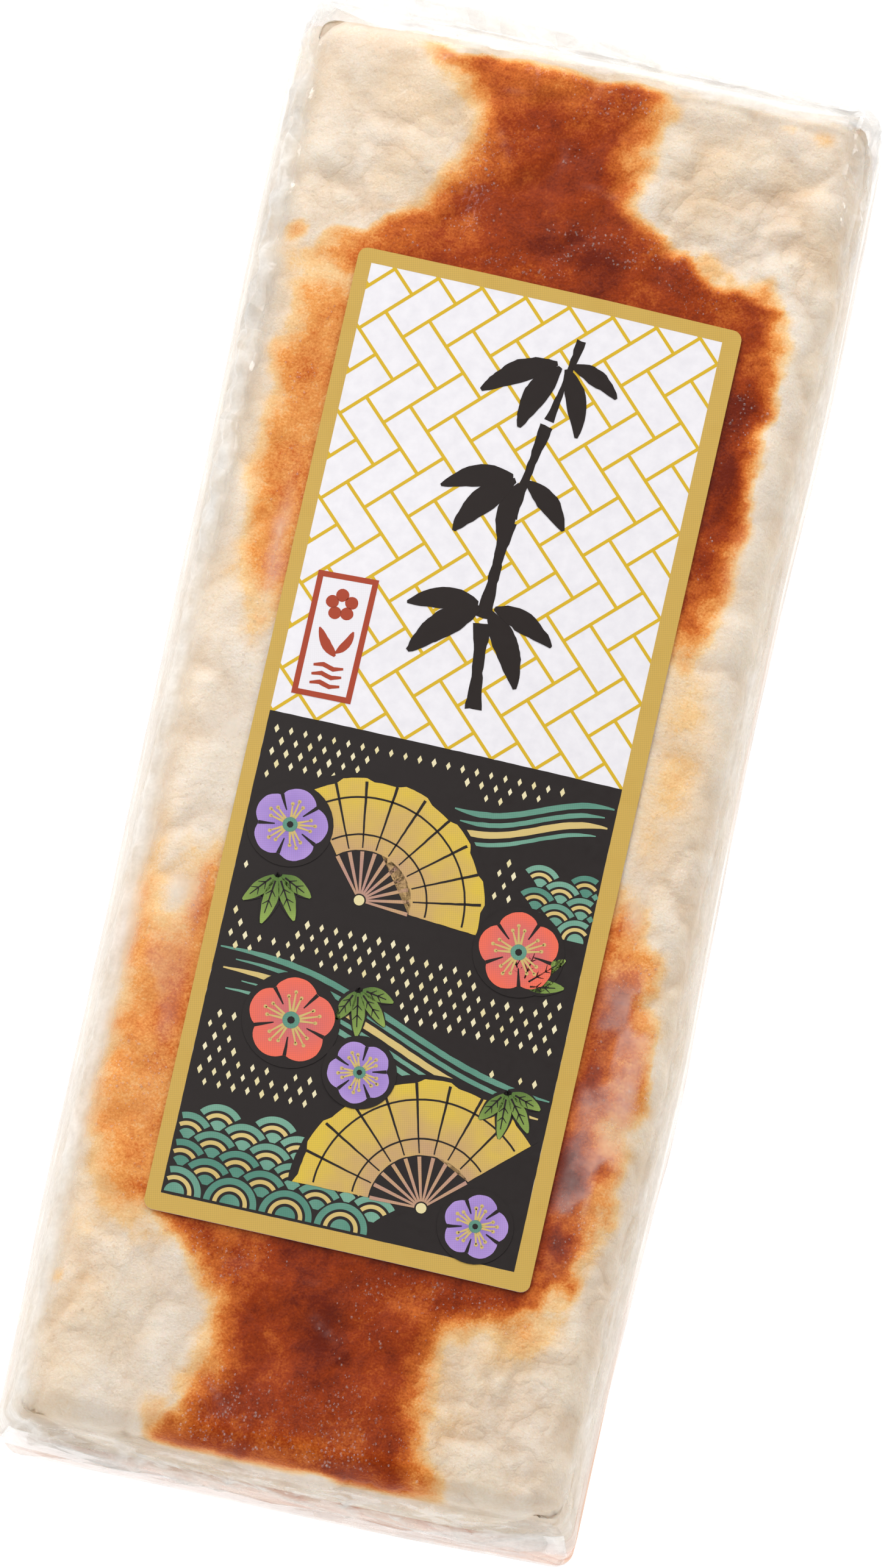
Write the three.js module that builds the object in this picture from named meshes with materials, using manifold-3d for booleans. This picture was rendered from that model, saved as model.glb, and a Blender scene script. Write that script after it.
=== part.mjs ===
// A grilled fish cake bar on the wooden board it was steamed on, wrapped tightly
// in clear film, with a paper label stuck on top. Millimetres, +Z up, +Y along the
// bar. The origin is the middle of the board's underside, where the pack rests.
import * as THREE from "three";
import { mergeVertices } from "three/addons/utils/BufferGeometryUtils.js";
import Module from "manifold-3d";

// Driving sizes
const clearance = 0.3; // between any two pieces that touch
const filmWall = 0.3;
const skin = clearance + filmWall; // from the food or the board to the outside of the film

const boardWidth = 60.6;
const boardLength = 149.8;
const boardThickness = 9;
const boardCorner = 1.5;
const boardEase = 0.5; // planed edge all round

const cakeWidth = 57.4; // at the shoulders
const cakeLength = 148.6;
const cakeHeight = 17.4; // above the board, at the middle of the crown
const cakeFlare = 1.4; // how much farther each side reaches at its foot
const cakeCorner = 5; // radius of the corners seen from above
const endSkew = 1.1; // how much longer the bar is along its right side
const shoulderReach = 3.6; // how far in from the side the top starts to roll over
const shoulderDrop = 4.6; // how far down the roll-over ends
const crownDrop = 0.7; // fall of the top from its middle to the shoulders

const swellHeight = 0.3; // slow waves of the whole top
const lumpHeight = 0.8; // puffed lumps beside the label
const lumpSize = 9.5;

const labelWidth = 40.4;
const labelLength = 103.6;
const labelThickness = 0.3;
const labelCorner = 0.9;
const labelTurn = THREE.MathUtils.degToRad(-0.3);
const labelCentre = new THREE.Vector2(0, -2.4);
const labelApron = 5; // the lumps fade out over this distance round the label

const foldBulk = 0.9; // film gathered and folded over each end
const pleatDepth = 0.25;
const filmHem = 0.3; // height of the film's lower edge, clear of what the board rests on

// Levels
const cakeFloor = boardThickness + clearance;
const cakeTop = cakeFloor + cakeHeight;

const { clamp, smoothstep, lerp } = THREE.MathUtils;

// A fixed pseudo-random value from 0 to 1 for each point of a grid
function hash(i, j, seed) {
  const s = Math.sin(i * 127.1 + j * 311.7 + seed * 74.7) * 43758.5453;
  return s - Math.floor(s);
}

// Smooth noise from -1 to 1
function wave(x, y, seed) {
  const i = Math.floor(x);
  const j = Math.floor(y);
  const u = smoothstep(x - i, 0, 1);
  const v = smoothstep(y - j, 0, 1);
  const near = lerp(hash(i, j, seed), hash(i + 1, j, seed), u);
  const far = lerp(hash(i, j + 1, seed), hash(i + 1, j + 1, seed), u);
  return 2 * lerp(near, far, v) - 1;
}

// Pillows from 0 to 1 with a crease wherever two of them meet
function pillow(x, y, seed) {
  const i = Math.floor(x);
  const j = Math.floor(y);
  let nearest = Infinity;
  let second = Infinity;
  for (let a = i - 1; a <= i + 1; a++) {
    for (let b = j - 1; b <= j + 1; b++) {
      const dx = a + 0.15 + 0.7 * hash(a, b, seed) - x;
      const dy = b + 0.15 + 0.7 * hash(a, b, seed + 1) - y;
      const distance = Math.hypot(dx, dy);
      second = Math.min(second, Math.max(nearest, distance));
      nearest = Math.min(nearest, distance);
    }
  }
  return Math.sqrt(clamp((second - nearest) / 0.7, 0, 1));
}

// 0 under the label, 1 beyond the apron round it
function clearOfLabel(x, y) {
  const dx = Math.max(Math.abs(x - labelCentre.x) - labelWidth / 2, 0);
  const dy = Math.max(Math.abs(y - labelCentre.y) - labelLength / 2, 0);
  return smoothstep(Math.hypot(dx, dy), 0.5, labelApron);
}

// 0 on the top, rising to 1 at the outer end of the roll-over
function rollOver(x, y) {
  const sideways = (Math.abs(x) - cakeWidth / 2) / shoulderReach + 1;
  const endways = (Math.abs(y) - cakeLength / 2) / shoulderReach + 1;
  return Math.min(1, Math.hypot(Math.max(sideways, 0), Math.max(endways, 0)));
}

// Height of the food's top surface
function topHeight(x, y) {
  const crown = crownDrop * (x / (cakeWidth / 2)) ** 2;
  const swell = swellHeight * wave(x / 19, y / 27, 8);
  const bend = 1.1 * wave(x / 11, y / 11, 10);
  const lump = lumpHeight * (pillow((x + bend) / lumpSize, (y - bend) / lumpSize, 3) - 0.5);
  const roll = rollOver(x, y);
  const flat = cakeTop - crown + swell + lump * clearOfLabel(x, y) * (1 - roll * roll);
  return flat - shoulderDrop * (1 - Math.sqrt(1 - roll * roll));
}

// Half of a width at station y, drawn in round the corners seen from above
function halfWidth(y, width, length, corner) {
  const past = clamp((Math.abs(y) - length / 2) / corner + 1, 0, 1);
  return width / 2 - corner * (1 - Math.sqrt(1 - past * past));
}

// Steps from one side to the other: even in the middle, closer where the shape turns
function steps(length, reach, count) {
  const straight = length / 2 - reach;
  const turn = [0.38, 0.7, 0.92, 1].map((share) => straight + reach * share);
  const middle = Array.from({ length: count }, (_, k) => lerp(-straight, straight, k / (count - 1)));
  return [...turn.map((s) => -s).reverse(), ...middle, ...turn];
}

const stations = steps(cakeLength, cakeCorner, 32);
const columnCount = 13;

// Above the board, the right side reaches farther at its far end
function skewed(point, y) {
  const share = smoothstep(y, 0, cakeLength / 2) * smoothstep(point.z, cakeFloor, cakeTop - shoulderDrop);
  point.y += (endSkew * share * point.x) / cakeWidth;
  return point;
}

// A ring of points round the food at station y: up the left side, over the top,
// down the right side
function cakeRing(y) {
  const half = halfWidth(y, cakeWidth, cakeLength, cakeCorner);
  const over = steps(2 * half, shoulderReach, columnCount).map(
    (x) => new THREE.Vector3(x, y, topHeight(x, y)),
  );
  const waist = lerp(cakeFloor, over[0].z, 0.5);
  const right = [
    new THREE.Vector3(half + cakeFlare * 0.7, y, waist),
    new THREE.Vector3(half + cakeFlare, y, cakeFloor + 0.9),
    new THREE.Vector3(half + cakeFlare - 0.5, y, cakeFloor),
  ];
  const left = right.map((p) => new THREE.Vector3(-p.x, y, p.z)).reverse();
  return [...left, ...over, ...right].map((p) => skewed(p, y));
}

// A ring round one face of the film, grown from the food and the board by that
// much and reaching down to the hem
function filmRing(y, grow, hem) {
  const share = y / (cakeLength / 2);
  const along = (boardLength / 2 + grow) * share;
  const boardHalf = grow + halfWidth(along, boardWidth, boardLength + 2 * grow, boardCorner);
  const half = halfWidth(y, cakeWidth, cakeLength, cakeCorner);
  const over = steps(2 * half, shoulderReach, columnCount).map(
    (x) => new THREE.Vector3(x * (1 + grow / half), along, topHeight(x, y) + grow),
  );
  const right = [
    new THREE.Vector3(half + cakeFlare * 0.8 + grow, along, lerp(cakeFloor, over[0].z, 0.5)),
    new THREE.Vector3(boardHalf, along, cakeFloor),
    new THREE.Vector3(boardHalf, along, hem),
  ];
  const left = right.map((p) => new THREE.Vector3(-p.x, along, p.z)).reverse();
  return [...left, ...over, ...right].map((p) => skewed(p, y));
}

// How far the folded film stands out from an end. Two creases run in from the top
// corners, and the flap below them carries the gathers.
function foldRelief(x, z) {
  const creaseHeight = lerp(boardThickness, cakeTop - shoulderDrop, (2 * Math.abs(x)) / boardWidth);
  const onFlap = smoothstep(creaseHeight - z, -2.5, 1.5);
  return foldBulk * lerp(0.35, 1, onFlap) + pleatDepth * onFlap * wave(x / 5, z / 9, 21);
}

// Rings drawn in from an end ring to its middle, moved out by the relief
function endCap(ring, outwards, relief) {
  const middle = new THREE.Vector3(0, ring[0].y, lerp(ring[0].z, cakeTop, 0.5));
  const place = (share) => (p) => {
    const q = middle.clone().lerp(p, share);
    q.y += outwards * relief(q.x, q.z);
    return q;
  };
  const rings = [0.94, 0.7, 0.36].map((share) => ring.map(place(share)));
  return { rings, tip: place(0)(middle) };
}

// A closed body through rings of equally many points, with a cap at each end
function loft(rings, relief) {
  const near = endCap(rings[0], -1, relief);
  const far = endCap(rings[rings.length - 1], 1, relief);
  const all = [...near.rings.reverse(), ...rings, ...far.rings];
  const around = rings[0].length;
  const points = [near.tip, ...all.flat(), far.tip];
  const last = points.length - 1;
  const at = (ring, i) => 1 + ring * around + (i % around);
  const faces = [];
  for (let i = 0; i < around; i++) {
    faces.push(0, at(0, i + 1), at(0, i));
    faces.push(last, at(all.length - 1, i), at(all.length - 1, i + 1));
    for (let k = 0; k + 1 < all.length; k++) {
      faces.push(at(k, i), at(k + 1, i + 1), at(k + 1, i));
      faces.push(at(k, i), at(k, i + 1), at(k + 1, i + 1));
    }
  }
  const geometry = new THREE.BufferGeometry().setFromPoints(points);
  geometry.setIndex(faces);
  return geometry;
}

function makeCake() {
  const bulge = 0.3;
  return loft(stations.map(cakeRing), () => bulge);
}

// A flat board with rounded corners and planed edges
function makeBoard() {
  const x = boardWidth / 2 - boardEase;
  const y = boardLength / 2 - boardEase;
  const r = boardCorner;
  const outline = new THREE.Shape();
  outline.absarc(x - r, r - y, r, -Math.PI / 2, 0);
  outline.absarc(x - r, y - r, r, 0, Math.PI / 2);
  outline.absarc(r - x, y - r, r, Math.PI / 2, Math.PI);
  outline.absarc(r - x, r - y, r, Math.PI, 1.5 * Math.PI);
  const geometry = new THREE.ExtrudeGeometry(outline, {
    depth: boardThickness - 2 * boardEase,
    bevelThickness: boardEase,
    bevelSize: boardEase,
    bevelSegments: 1,
    curveSegments: 4,
  });
  return geometry.translate(0, 0, boardEase);
}

// A thin sheet over the film, with rounded corners
function makeLabel() {
  const rows = steps(labelLength, labelCorner, 22);
  const along = rows.length - 1;
  const across = 10;
  const points = [];
  for (const lift of [skin + clearance, skin + clearance + labelThickness]) {
    for (const y of rows) {
      const half = halfWidth(y, labelWidth, labelLength, labelCorner);
      for (let i = 0; i <= across; i++) {
        const spot = new THREE.Vector2(half * ((2 * i) / across - 1), y);
        spot.rotateAround(new THREE.Vector2(), labelTurn).add(labelCentre);
        points.push(new THREE.Vector3(spot.x, spot.y, topHeight(spot.x, spot.y) + lift));
      }
    }
  }
  const layer = (across + 1) * (along + 1);
  const at = (i, j, top) => top * layer + j * (across + 1) + i;
  const faces = [];
  const quad = (a, b, c, d) => faces.push(a, b, c, a, c, d);
  for (let i = 0; i < across; i++) {
    for (let j = 0; j < along; j++) {
      quad(at(i, j, 1), at(i + 1, j, 1), at(i + 1, j + 1, 1), at(i, j + 1, 1));
      quad(at(i, j, 0), at(i, j + 1, 0), at(i + 1, j + 1, 0), at(i + 1, j, 0));
    }
    quad(at(i, 0, 0), at(i + 1, 0, 0), at(i + 1, 0, 1), at(i, 0, 1));
    quad(at(i + 1, along, 0), at(i, along, 0), at(i, along, 1), at(i + 1, along, 1));
  }
  for (let j = 0; j < along; j++) {
    quad(at(0, j + 1, 0), at(0, j, 0), at(0, j, 1), at(0, j + 1, 1));
    quad(at(across, j, 0), at(across, j + 1, 0), at(across, j + 1, 1), at(across, j, 1));
  }
  const geometry = new THREE.BufferGeometry().setFromPoints(points);
  geometry.setIndex(faces);
  return geometry;
}

const wasm = await Module();
wasm.setup();

function toSolid(geometry) {
  const merged = mergeVertices(geometry, 1e-4);
  return new wasm.Manifold(
    new wasm.Mesh({
      numProp: 3,
      vertProperties: merged.attributes.position.array,
      triVerts: new Uint32Array(merged.index.array),
    }),
  );
}

function toGeometry(solid) {
  const mesh = solid.getMesh();
  const geometry = new THREE.BufferGeometry();
  geometry.setAttribute("position", new THREE.BufferAttribute(mesh.vertProperties, 3));
  geometry.setIndex(new THREE.BufferAttribute(mesh.triVerts, 1));
  return geometry;
}

// The film lies over the top, sides and ends, and ends at the board's lower edge
function makeFilm() {
  const face = (grow, hem) => toSolid(loft(stations.map((y) => filmRing(y, grow, hem)), foldRelief));
  return toGeometry(face(skin, filmHem).subtract(face(clearance, -filmHem)));
}

function material(color, roughness, opacity = 1) {
  return new THREE.MeshStandardMaterial({
    color,
    roughness,
    metalness: 0,
    opacity,
    transparent: opacity < 1,
  });
}

function piece(name, geometry, finish) {
  const mesh = new THREE.Mesh(geometry, finish);
  mesh.name = name;
  return mesh;
}

const pack = new THREE.Group();
pack.add(
  piece("board", makeBoard(), material(0xdcb08c, 0.7)),
  piece("fish_cake", makeCake(), material(0xe8d3ae, 0.5)),
  piece("film", makeFilm(), material(0xf4f4f2, 0.1, 0.25)),
  piece("label", makeLabel(), material(0xe9e6e4, 0.55)),
);

export default pack;
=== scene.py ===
import math
import random

import bmesh
import bpy
import numpy as np
from mathutils import Matrix, Vector


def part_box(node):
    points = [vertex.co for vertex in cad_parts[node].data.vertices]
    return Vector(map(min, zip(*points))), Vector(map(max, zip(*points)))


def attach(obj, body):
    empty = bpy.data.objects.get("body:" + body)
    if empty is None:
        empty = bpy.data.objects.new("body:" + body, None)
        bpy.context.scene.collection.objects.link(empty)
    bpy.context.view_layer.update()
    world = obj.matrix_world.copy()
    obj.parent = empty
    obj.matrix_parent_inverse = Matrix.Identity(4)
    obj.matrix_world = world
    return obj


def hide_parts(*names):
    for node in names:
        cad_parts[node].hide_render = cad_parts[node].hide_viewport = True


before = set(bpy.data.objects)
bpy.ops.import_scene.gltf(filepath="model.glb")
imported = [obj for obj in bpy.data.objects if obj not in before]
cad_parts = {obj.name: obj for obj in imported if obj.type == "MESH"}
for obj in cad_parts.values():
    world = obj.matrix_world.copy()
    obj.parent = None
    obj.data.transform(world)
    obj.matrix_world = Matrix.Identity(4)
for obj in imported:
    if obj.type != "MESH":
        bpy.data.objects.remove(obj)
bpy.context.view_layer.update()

mm = 0.001  # every size below is in millimetres, and meshes are made in metres

# X runs across the bar, Y along it towards the far end, Z up from the board's underside.


def nodeBox(node):
    low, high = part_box(node)
    return np.array(low) / mm, np.array(high) / mm


boardLow, boardHigh = nodeBox("board")

cake = {
    "width": 57.4,  # at the shoulders
    "length": 148.6,
    "floor": boardHigh[2] + 0.3,
    "height": 17.4,
    "flare": 1.4,
    "corner": 1.6,
    "endSkew": 1.1,
    "rollReach": 3.6,
    "rollDrop": 4.6,
    "nearReach": 2.0,  # the near end turns over more sharply than the sides and the far end
    "nearDrop": 3.2,
    "lowCorner": 3.2,
    "nearOut": 1.3,
    "nearLean": 1.0,
    "crownDrop": 0.95,
    "swell": 0.3,
    "lump": 0.36,
    "lumpSize": 9.5,
    "grow": 0.3,  # the food fills the gap that the solids keep to the film
    "puff": 0.6,  # smaller puffs, in the lumpy places below
    "puffSize": 5.2,
    "ripple": 1.15,
    "grain": 0.04,
    # (x, y, reach across, reach along, how lumpy)
    "lumpyPlaces": [(17, 61, 10, 9, 1.0), (17.5, -64.5, 9, 9, 1.0), (-17, 61, 9, 9, 0.5),
                    (-21, -64, 7, 8, 0.35), (-25, -3, 5, 12, 0.3), (24.5, -2, 4, 16, 0.35),
                    (-2, 62, 8, 8, 0.25), (0, -64, 10, 9, 0.22)],
    # (side, y, reach along, how far out)
    "sideSwells": [(1, 50, 16, 0.36), (1, 14, 18, -0.28), (1, -26, 13, 0.45), (1, -68, 20, -0.7),
                   (-1, 58, 26, 0.25), (-1, -30, 20, -0.1), (-1, -70, 14, -0.35)],
    "corners": {(-1, -1): 3.4, (1, -1): 1.7, (1, 1): 4.6, (-1, 1): 2.6},  # plan radius of each corner
}
cakeTop = cake["floor"] + cake["height"]

label = {
    "width": 40.4,
    "length": 103.6,
    "centre": (0.0, -2.4),
    "turn": math.radians(-0.3),
    "corner": 1.0,
    "apron": 5.0,  # the lumps fade out over this reach round the label
    "thickness": 0.12,
    "lift": 0.06,  # above the film
    "cell": 1.5,  # size of the cells of its mesh
}


# Seeded noise

def fixedRandom(i, j, seed):
    s = np.sin(i * 127.1 + j * 311.7 + seed * 74.7) * 43758.5453
    return s - np.floor(s)


def smooth(t):
    t = np.clip(t, 0, 1)
    return t * t * (3 - 2 * t)


def wave(x, y, seed):  # from -1 to 1
    i, j = np.floor(x), np.floor(y)
    u, v = smooth(x - i), smooth(y - j)
    near = fixedRandom(i, j, seed) * (1 - u) + fixedRandom(i + 1, j, seed) * u
    far = fixedRandom(i, j + 1, seed) * (1 - u) + fixedRandom(i + 1, j + 1, seed) * u
    return 2 * (near * (1 - v) + far * v) - 1


def cloud(x, y, seed, octaves=4):
    total, size, share = 0, 1.0, 0.5
    for octave in range(octaves):
        total = total + share * wave(x * size + 7.3 * octave, y * size - 3.1 * octave, seed + octave)
        size, share = size * 2.03, share * 0.5
    return total


def hill(x, y, a, b):  # a soft mound, as wide as a and as long as b
    return np.exp(-(x / a) ** 2 - (y / b) ** 2)


def pillow(x, y, seed):  # 1 in the middle of a lump, 0 in the creases between lumps
    i0, j0 = np.floor(x), np.floor(y)
    nearest = np.full(np.shape(x), 9.0)
    second = np.full(np.shape(x), 9.0)
    for a in (-1, 0, 1):
        for b in (-1, 0, 1):
            i, j = i0 + a, j0 + b
            dx = i + 0.15 + 0.7 * fixedRandom(i, j, seed) - x
            dy = j + 0.15 + 0.7 * fixedRandom(i, j, seed + 1) - y
            distance = np.hypot(dx, dy)
            second = np.minimum(second, np.maximum(nearest, distance))
            nearest = np.minimum(nearest, distance)
    return np.sqrt(np.clip((second - nearest) / 0.7, 0, 1))


def facets(x, y, size, seed):  # flat facets between sharp creases, from 0 to 1
    draw = random.Random(seed)
    total = 0
    for k in range(4):
        turn, length = draw.uniform(0, math.pi), draw.uniform(0.7, 1.7)
        along = (x * math.cos(turn) + y * math.sin(turn)) / (size * length)
        along = along + draw.uniform(0, 1) + 0.45 * cloud(x / size / 1.8, y / size / 1.8, seed + 5 * k, 2)
        total = total + np.abs(along - np.floor(along) - 0.5) * length / 2.4
    return total


# Heights of the food, the film and the label

def clearOfLabel(x, y):
    dx = np.maximum(np.abs(x - label["centre"][0]) - label["width"] / 2, 0)
    dy = np.maximum(np.abs(y - label["centre"][1]) - label["length"] / 2, 0)
    return smooth((np.hypot(dx, dy) - 0.5) / (label["apron"] - 0.5))


def rolledDown(x, y):
    # how far the rounded edges have dropped at each place, and 0 to 1 for how near the edge it is
    endReach = np.where(y < 0, cake["nearReach"], cake["rollReach"])
    endDrop = np.where(y < 0, cake["nearDrop"], cake["rollDrop"])
    sideways = np.clip((np.abs(x) - cake["width"] / 2) / cake["rollReach"] + 1, 0, 1)
    endways = np.clip((np.abs(y) - cake["length"] / 2) / endReach + 1, 0, 1)
    roll = np.minimum(1, np.hypot(sideways, endways))
    share = endways ** 2 / np.maximum(sideways ** 2 + endways ** 2, 1e-9)
    drop = cake["rollDrop"] * (1 - share) + endDrop * share
    return drop * (1 - np.sqrt(np.maximum(1 - roll * roll, 0))), roll


def lumpAt(x, y):
    bend = 1.1 * wave(x / 11, y / 11, 10)
    return pillow((x + bend) / cake["lumpSize"], (y - bend) / cake["lumpSize"], 3)


def cakeHeight(x, y):
    crown = cake["crownDrop"] * (x / (cake["width"] / 2)) ** 2
    swell = cake["swell"] * wave(x / 19, y / 27, 8)
    lump = cake["lump"] * (lumpAt(x, y) - 0.5)
    dropped, roll = rolledDown(x, y)
    return cakeTop - crown + swell + lump * clearOfLabel(x, y) * (1 - roll * roll) - dropped


def lumpyShare(x, y):
    share = np.zeros(np.shape(x))
    for cx, cy, a, b, amount in cake["lumpyPlaces"]:
        share = share + amount * np.exp(-((x - cx) / a) ** 4 - ((y - cy) / b) ** 4)
    return np.clip(share, 0, 1)


def puffAt(x, y):
    bendX, bendY = 1.7 * cloud(x / 6, y / 6, 33, 3), 1.7 * cloud(x / 6, y / 6, 37, 3)
    return pillow((x + bendX) / cake["puffSize"], (y + bendY) / cake["puffSize"], 31)


def roundedInPlan(grid, outside):
    # pulls each corner of the bar in to its own radius, seen from above
    for (sx, sy), radius in cake["corners"].items():
        if (sx, sy) == (-1, -1):  # cut off further down
            radius = radius + cake["lowCorner"] * smooth((13 - grid[..., 2]) / 9)
        cx, cy = boardHigh[0] + outside - radius, boardHigh[1] + outside - radius
        dx, dy = grid[..., 0] * sx - cx, grid[..., 1] * sy - cy
        far = np.hypot(np.maximum(dx, 0), np.maximum(dy, 0))
        limit = radius + np.maximum(0, np.maximum(dx, dy) - radius)
        scale = np.where((dx > 0) & (dy > 0) & (far > limit), limit / np.maximum(far, 1e-6), 1)
        grid[..., 0] = np.where(scale < 1, sx * (cx + dx * scale), grid[..., 0])
        grid[..., 1] = np.where(scale < 1, sy * (cy + dy * scale), grid[..., 1])
    return grid


def swollen(grid):
    # the long sides aren't quite straight
    for side, cy, reach, amount in cake["sideSwells"]:
        share = smooth((grid[..., 0] * side - 16) / 12)
        grid[..., 0] += side * amount * share * np.exp(-((grid[..., 1] - cy) / reach) ** 2)
    return grid


def leaning(grid):
    # the near end stands a little further out, most of all at the top of the food
    share = smooth((-grid[..., 1] - 57) / 16) * (1 - 0.35 * smooth((grid[..., 0] - 10) / 20))
    grid[..., 1] -= share * (cake["nearOut"] + cake["nearLean"] * smooth(grid[..., 2] / 24))
    return grid


gridX, gridY, gridStep = np.arange(-34, 34.5, 0.5), np.arange(-80, 80.5, 0.5), 0.5


def neighbours(z):
    padded = np.pad(z, 1, mode="edge")
    rows, columns = z.shape
    return [padded[1 + a:1 + a + rows, 1 + b:1 + b + columns] for a in (-1, 0, 1) for b in (-1, 0, 1)]


def stretchedOver(z, spread, soften):  # a skin laid over the hills, which bridges the creases
    for _ in range(spread):
        z = np.maximum.reduce(neighbours(z))
    for _ in range(soften):
        z = sum(neighbours(z)) / 9
    return z


def blended(z, u, v):  # heights between the points of a grid, u and v counted in its steps
    i, j = np.floor(u).astype(int), np.floor(v).astype(int)
    u, v = u - i, v - j
    near = z[j, i] * (1 - u) + z[j, i + 1] * u
    far = z[j + 1, i] * (1 - u) + z[j + 1, i + 1] * u
    return near * (1 - v) + far * v


def heightAt(z, x, y):
    return blended(z, np.clip((x - gridX[0]) / gridStep, 0, len(gridX) - 1.001),
                   np.clip((y - gridY[0]) / gridStep, 0, len(gridY) - 1.001))


print("heights of the skin and the label")
skinHeights = stretchedOver(cakeHeight(*np.meshgrid(gridX, gridY)), 2, 5)
labelHeights = stretchedOver(skinHeights, 0, 16)


# Mesh helpers

def halfWidth(y, width, length, corner):
    past = np.clip((np.abs(y) - length / 2) / corner + 1, 0, 1)
    return width / 2 - corner * (1 - np.sqrt(1 - past * past))


def turningSteps(half, reach, even, turn):
    # places from one side to the other, bunched where the shape turns
    straight = half - reach
    ends = straight + reach * np.sin(np.linspace(0, math.pi / 2, turn + 1)[1:])
    return np.concatenate([-ends[::-1], np.linspace(-straight, straight, even), ends])


def makePiece(name, points, faces, material, node=None, sharpAbove=None):
    mesh = bpy.data.meshes.new(name)
    mesh.from_pydata((np.asarray(points) * mm).tolist(), [], faces)
    mesh.validate()
    bm = bmesh.new()
    bm.from_mesh(mesh)
    bmesh.ops.recalc_face_normals(bm, faces=bm.faces)
    bm.to_mesh(mesh)
    bm.free()
    mesh.polygons.foreach_set("use_smooth", [True] * len(mesh.polygons))
    if sharpAbove:
        mesh.set_sharp_from_angle(angle=math.radians(sharpAbove))
    mesh.materials.append(material)
    piece = bpy.data.objects.new(name, mesh)
    bpy.context.scene.collection.objects.link(piece)
    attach(piece, "root")
    if node:
        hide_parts(node)
    return piece


def addValue(piece, name, values):
    layer = piece.data.attributes.new(name, "FLOAT", "POINT")
    layer.data.foreach_set("value", np.asarray(values, dtype=np.float32))


def gridFaces(rows, columns, closed=False):
    across = columns if closed else columns - 1
    j, i = np.meshgrid(np.arange(rows - 1), np.arange(across), indexing="ij")
    k = (i + 1) % columns
    quads = np.stack([j * columns + i, j * columns + k, (j + 1) * columns + k, (j + 1) * columns + i], -1)
    return quads.reshape(-1, 4).tolist()


def closedTube(grid):
    # faces and points of a tube of rings, with a point in the middle of each end
    rows, columns = grid.shape[:2]
    faces = gridFaces(rows, columns, closed=True)
    points = np.concatenate([grid.reshape(-1, 3), grid[:1].mean(axis=1), grid[-1:].mean(axis=1)])
    last = rows * columns
    for i in range(columns):
        k = (i + 1) % columns
        faces.append([i, k, last])
        faces.append([(rows - 1) * columns + i, (rows - 1) * columns + k, last + 1])
    return points, faces


def surfaceNormals(grid):
    # outward normals of rings of points
    along = np.gradient(grid, axis=0)
    around = (np.roll(grid, -1, axis=1) - np.roll(grid, 1, axis=1)) / 2
    normals = np.cross(around, along)
    return normals / np.maximum(np.linalg.norm(normals, axis=2, keepdims=True), 1e-9)


def roundDistance(grid):
    # how far each point is from the bar's middle line, measured round the skin
    step = np.linalg.norm(np.diff(grid, axis=1), axis=2)
    run = np.concatenate([np.zeros((len(grid), 1)), np.cumsum(step, axis=1)], axis=1)
    station = grid[len(grid) // 2]
    middle = int(np.argmin(np.abs(station[:, 0]) + 1000 * (station[:, 2] < cakeTop - 8)))
    return run - run[:, middle][:, None]


def closingRings(grid, middleZ, shares):
    # smaller and smaller rings that close the near end and the far end
    ends = []
    for ring in (grid[0], grid[-1]):
        middle = np.array([0, ring[:, 1].mean(), middleZ])
        ends.append(np.stack([middle + (ring - middle) * share for share in shares]))
    return ends


def fromEdge(rings, edge):  # how far in from the edge of an end
    return np.hypot(rings[:, :, 0] - edge[:, 0], rings[:, :, 2] - edge[:, 2])


# Materials

def newMaterial(name):
    material = bpy.data.materials.new(name)
    material.use_nodes = True
    material.node_tree.nodes.clear()
    return material, material.node_tree


def plug(tree, value, socket):
    if isinstance(value, bpy.types.Node):
        value = value.outputs[0]
    if isinstance(value, bpy.types.NodeSocket):
        tree.links.new(value, socket)
    elif isinstance(value, tuple) and socket.type == "RGBA" and len(value) == 3:
        socket.default_value = (*value, 1)
    else:
        socket.default_value = value


def add(tree, kind, inputs=None, **settings):
    node = tree.nodes.new("ShaderNode" + kind)
    count = len(tree.nodes)
    node.location = (-1800 + 190 * (count % 12), 500 - 280 * (count // 12))
    for key, value in settings.items():
        setattr(node, key, value)
    for key, value in (inputs or {}).items():
        plug(tree, value, node.inputs[key])
    return node


def calc(tree, operation, a, b=0.0, third=0.5, clamp=False):
    return add(tree, "Math", {0: a, 1: b, 2: third}, operation=operation, use_clamp=clamp)


def plus(tree, a, b, clamp=False):
    return calc(tree, "ADD", a, b, clamp=clamp)


def minus(tree, a, b, clamp=False):
    return calc(tree, "SUBTRACT", a, b, clamp=clamp)


def times(tree, a, b, clamp=False):
    return calc(tree, "MULTIPLY", a, b, clamp=clamp)


def value(tree, name):
    return add(tree, "Attribute", attribute_name=name).outputs["Fac"]


def place(tree, scale=None):
    point = add(tree, "TexCoord").outputs["Object"]
    return add(tree, "Mapping", {"Vector": point, "Scale": scale}) if scale else point


def noise(tree, scale, detail=4.0, roughness=0.55, vector=None, distortion=0.0):
    return add(tree, "TexNoise", {"Vector": vector or place(tree), "Scale": scale, "Detail": detail,
                                  "Roughness": roughness, "Distortion": distortion}).outputs["Fac"]


def spread(tree, source, low, high, newLow=0.0, newHigh=1.0):
    return add(tree, "MapRange", {"Value": source, "From Min": low, "From Max": high,
                                  "To Min": newLow, "To Max": newHigh}).outputs["Result"]


def ramp(tree, source, stops):
    node = add(tree, "ValToRGB", {"Fac": source})
    elements = node.color_ramp.elements
    while len(elements) < len(stops):
        elements.new(0.5)
    for element, (position, colour) in zip(elements, stops):
        element.position = position
        element.color = (*colour, 1)
    return node.outputs["Color"]


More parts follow.
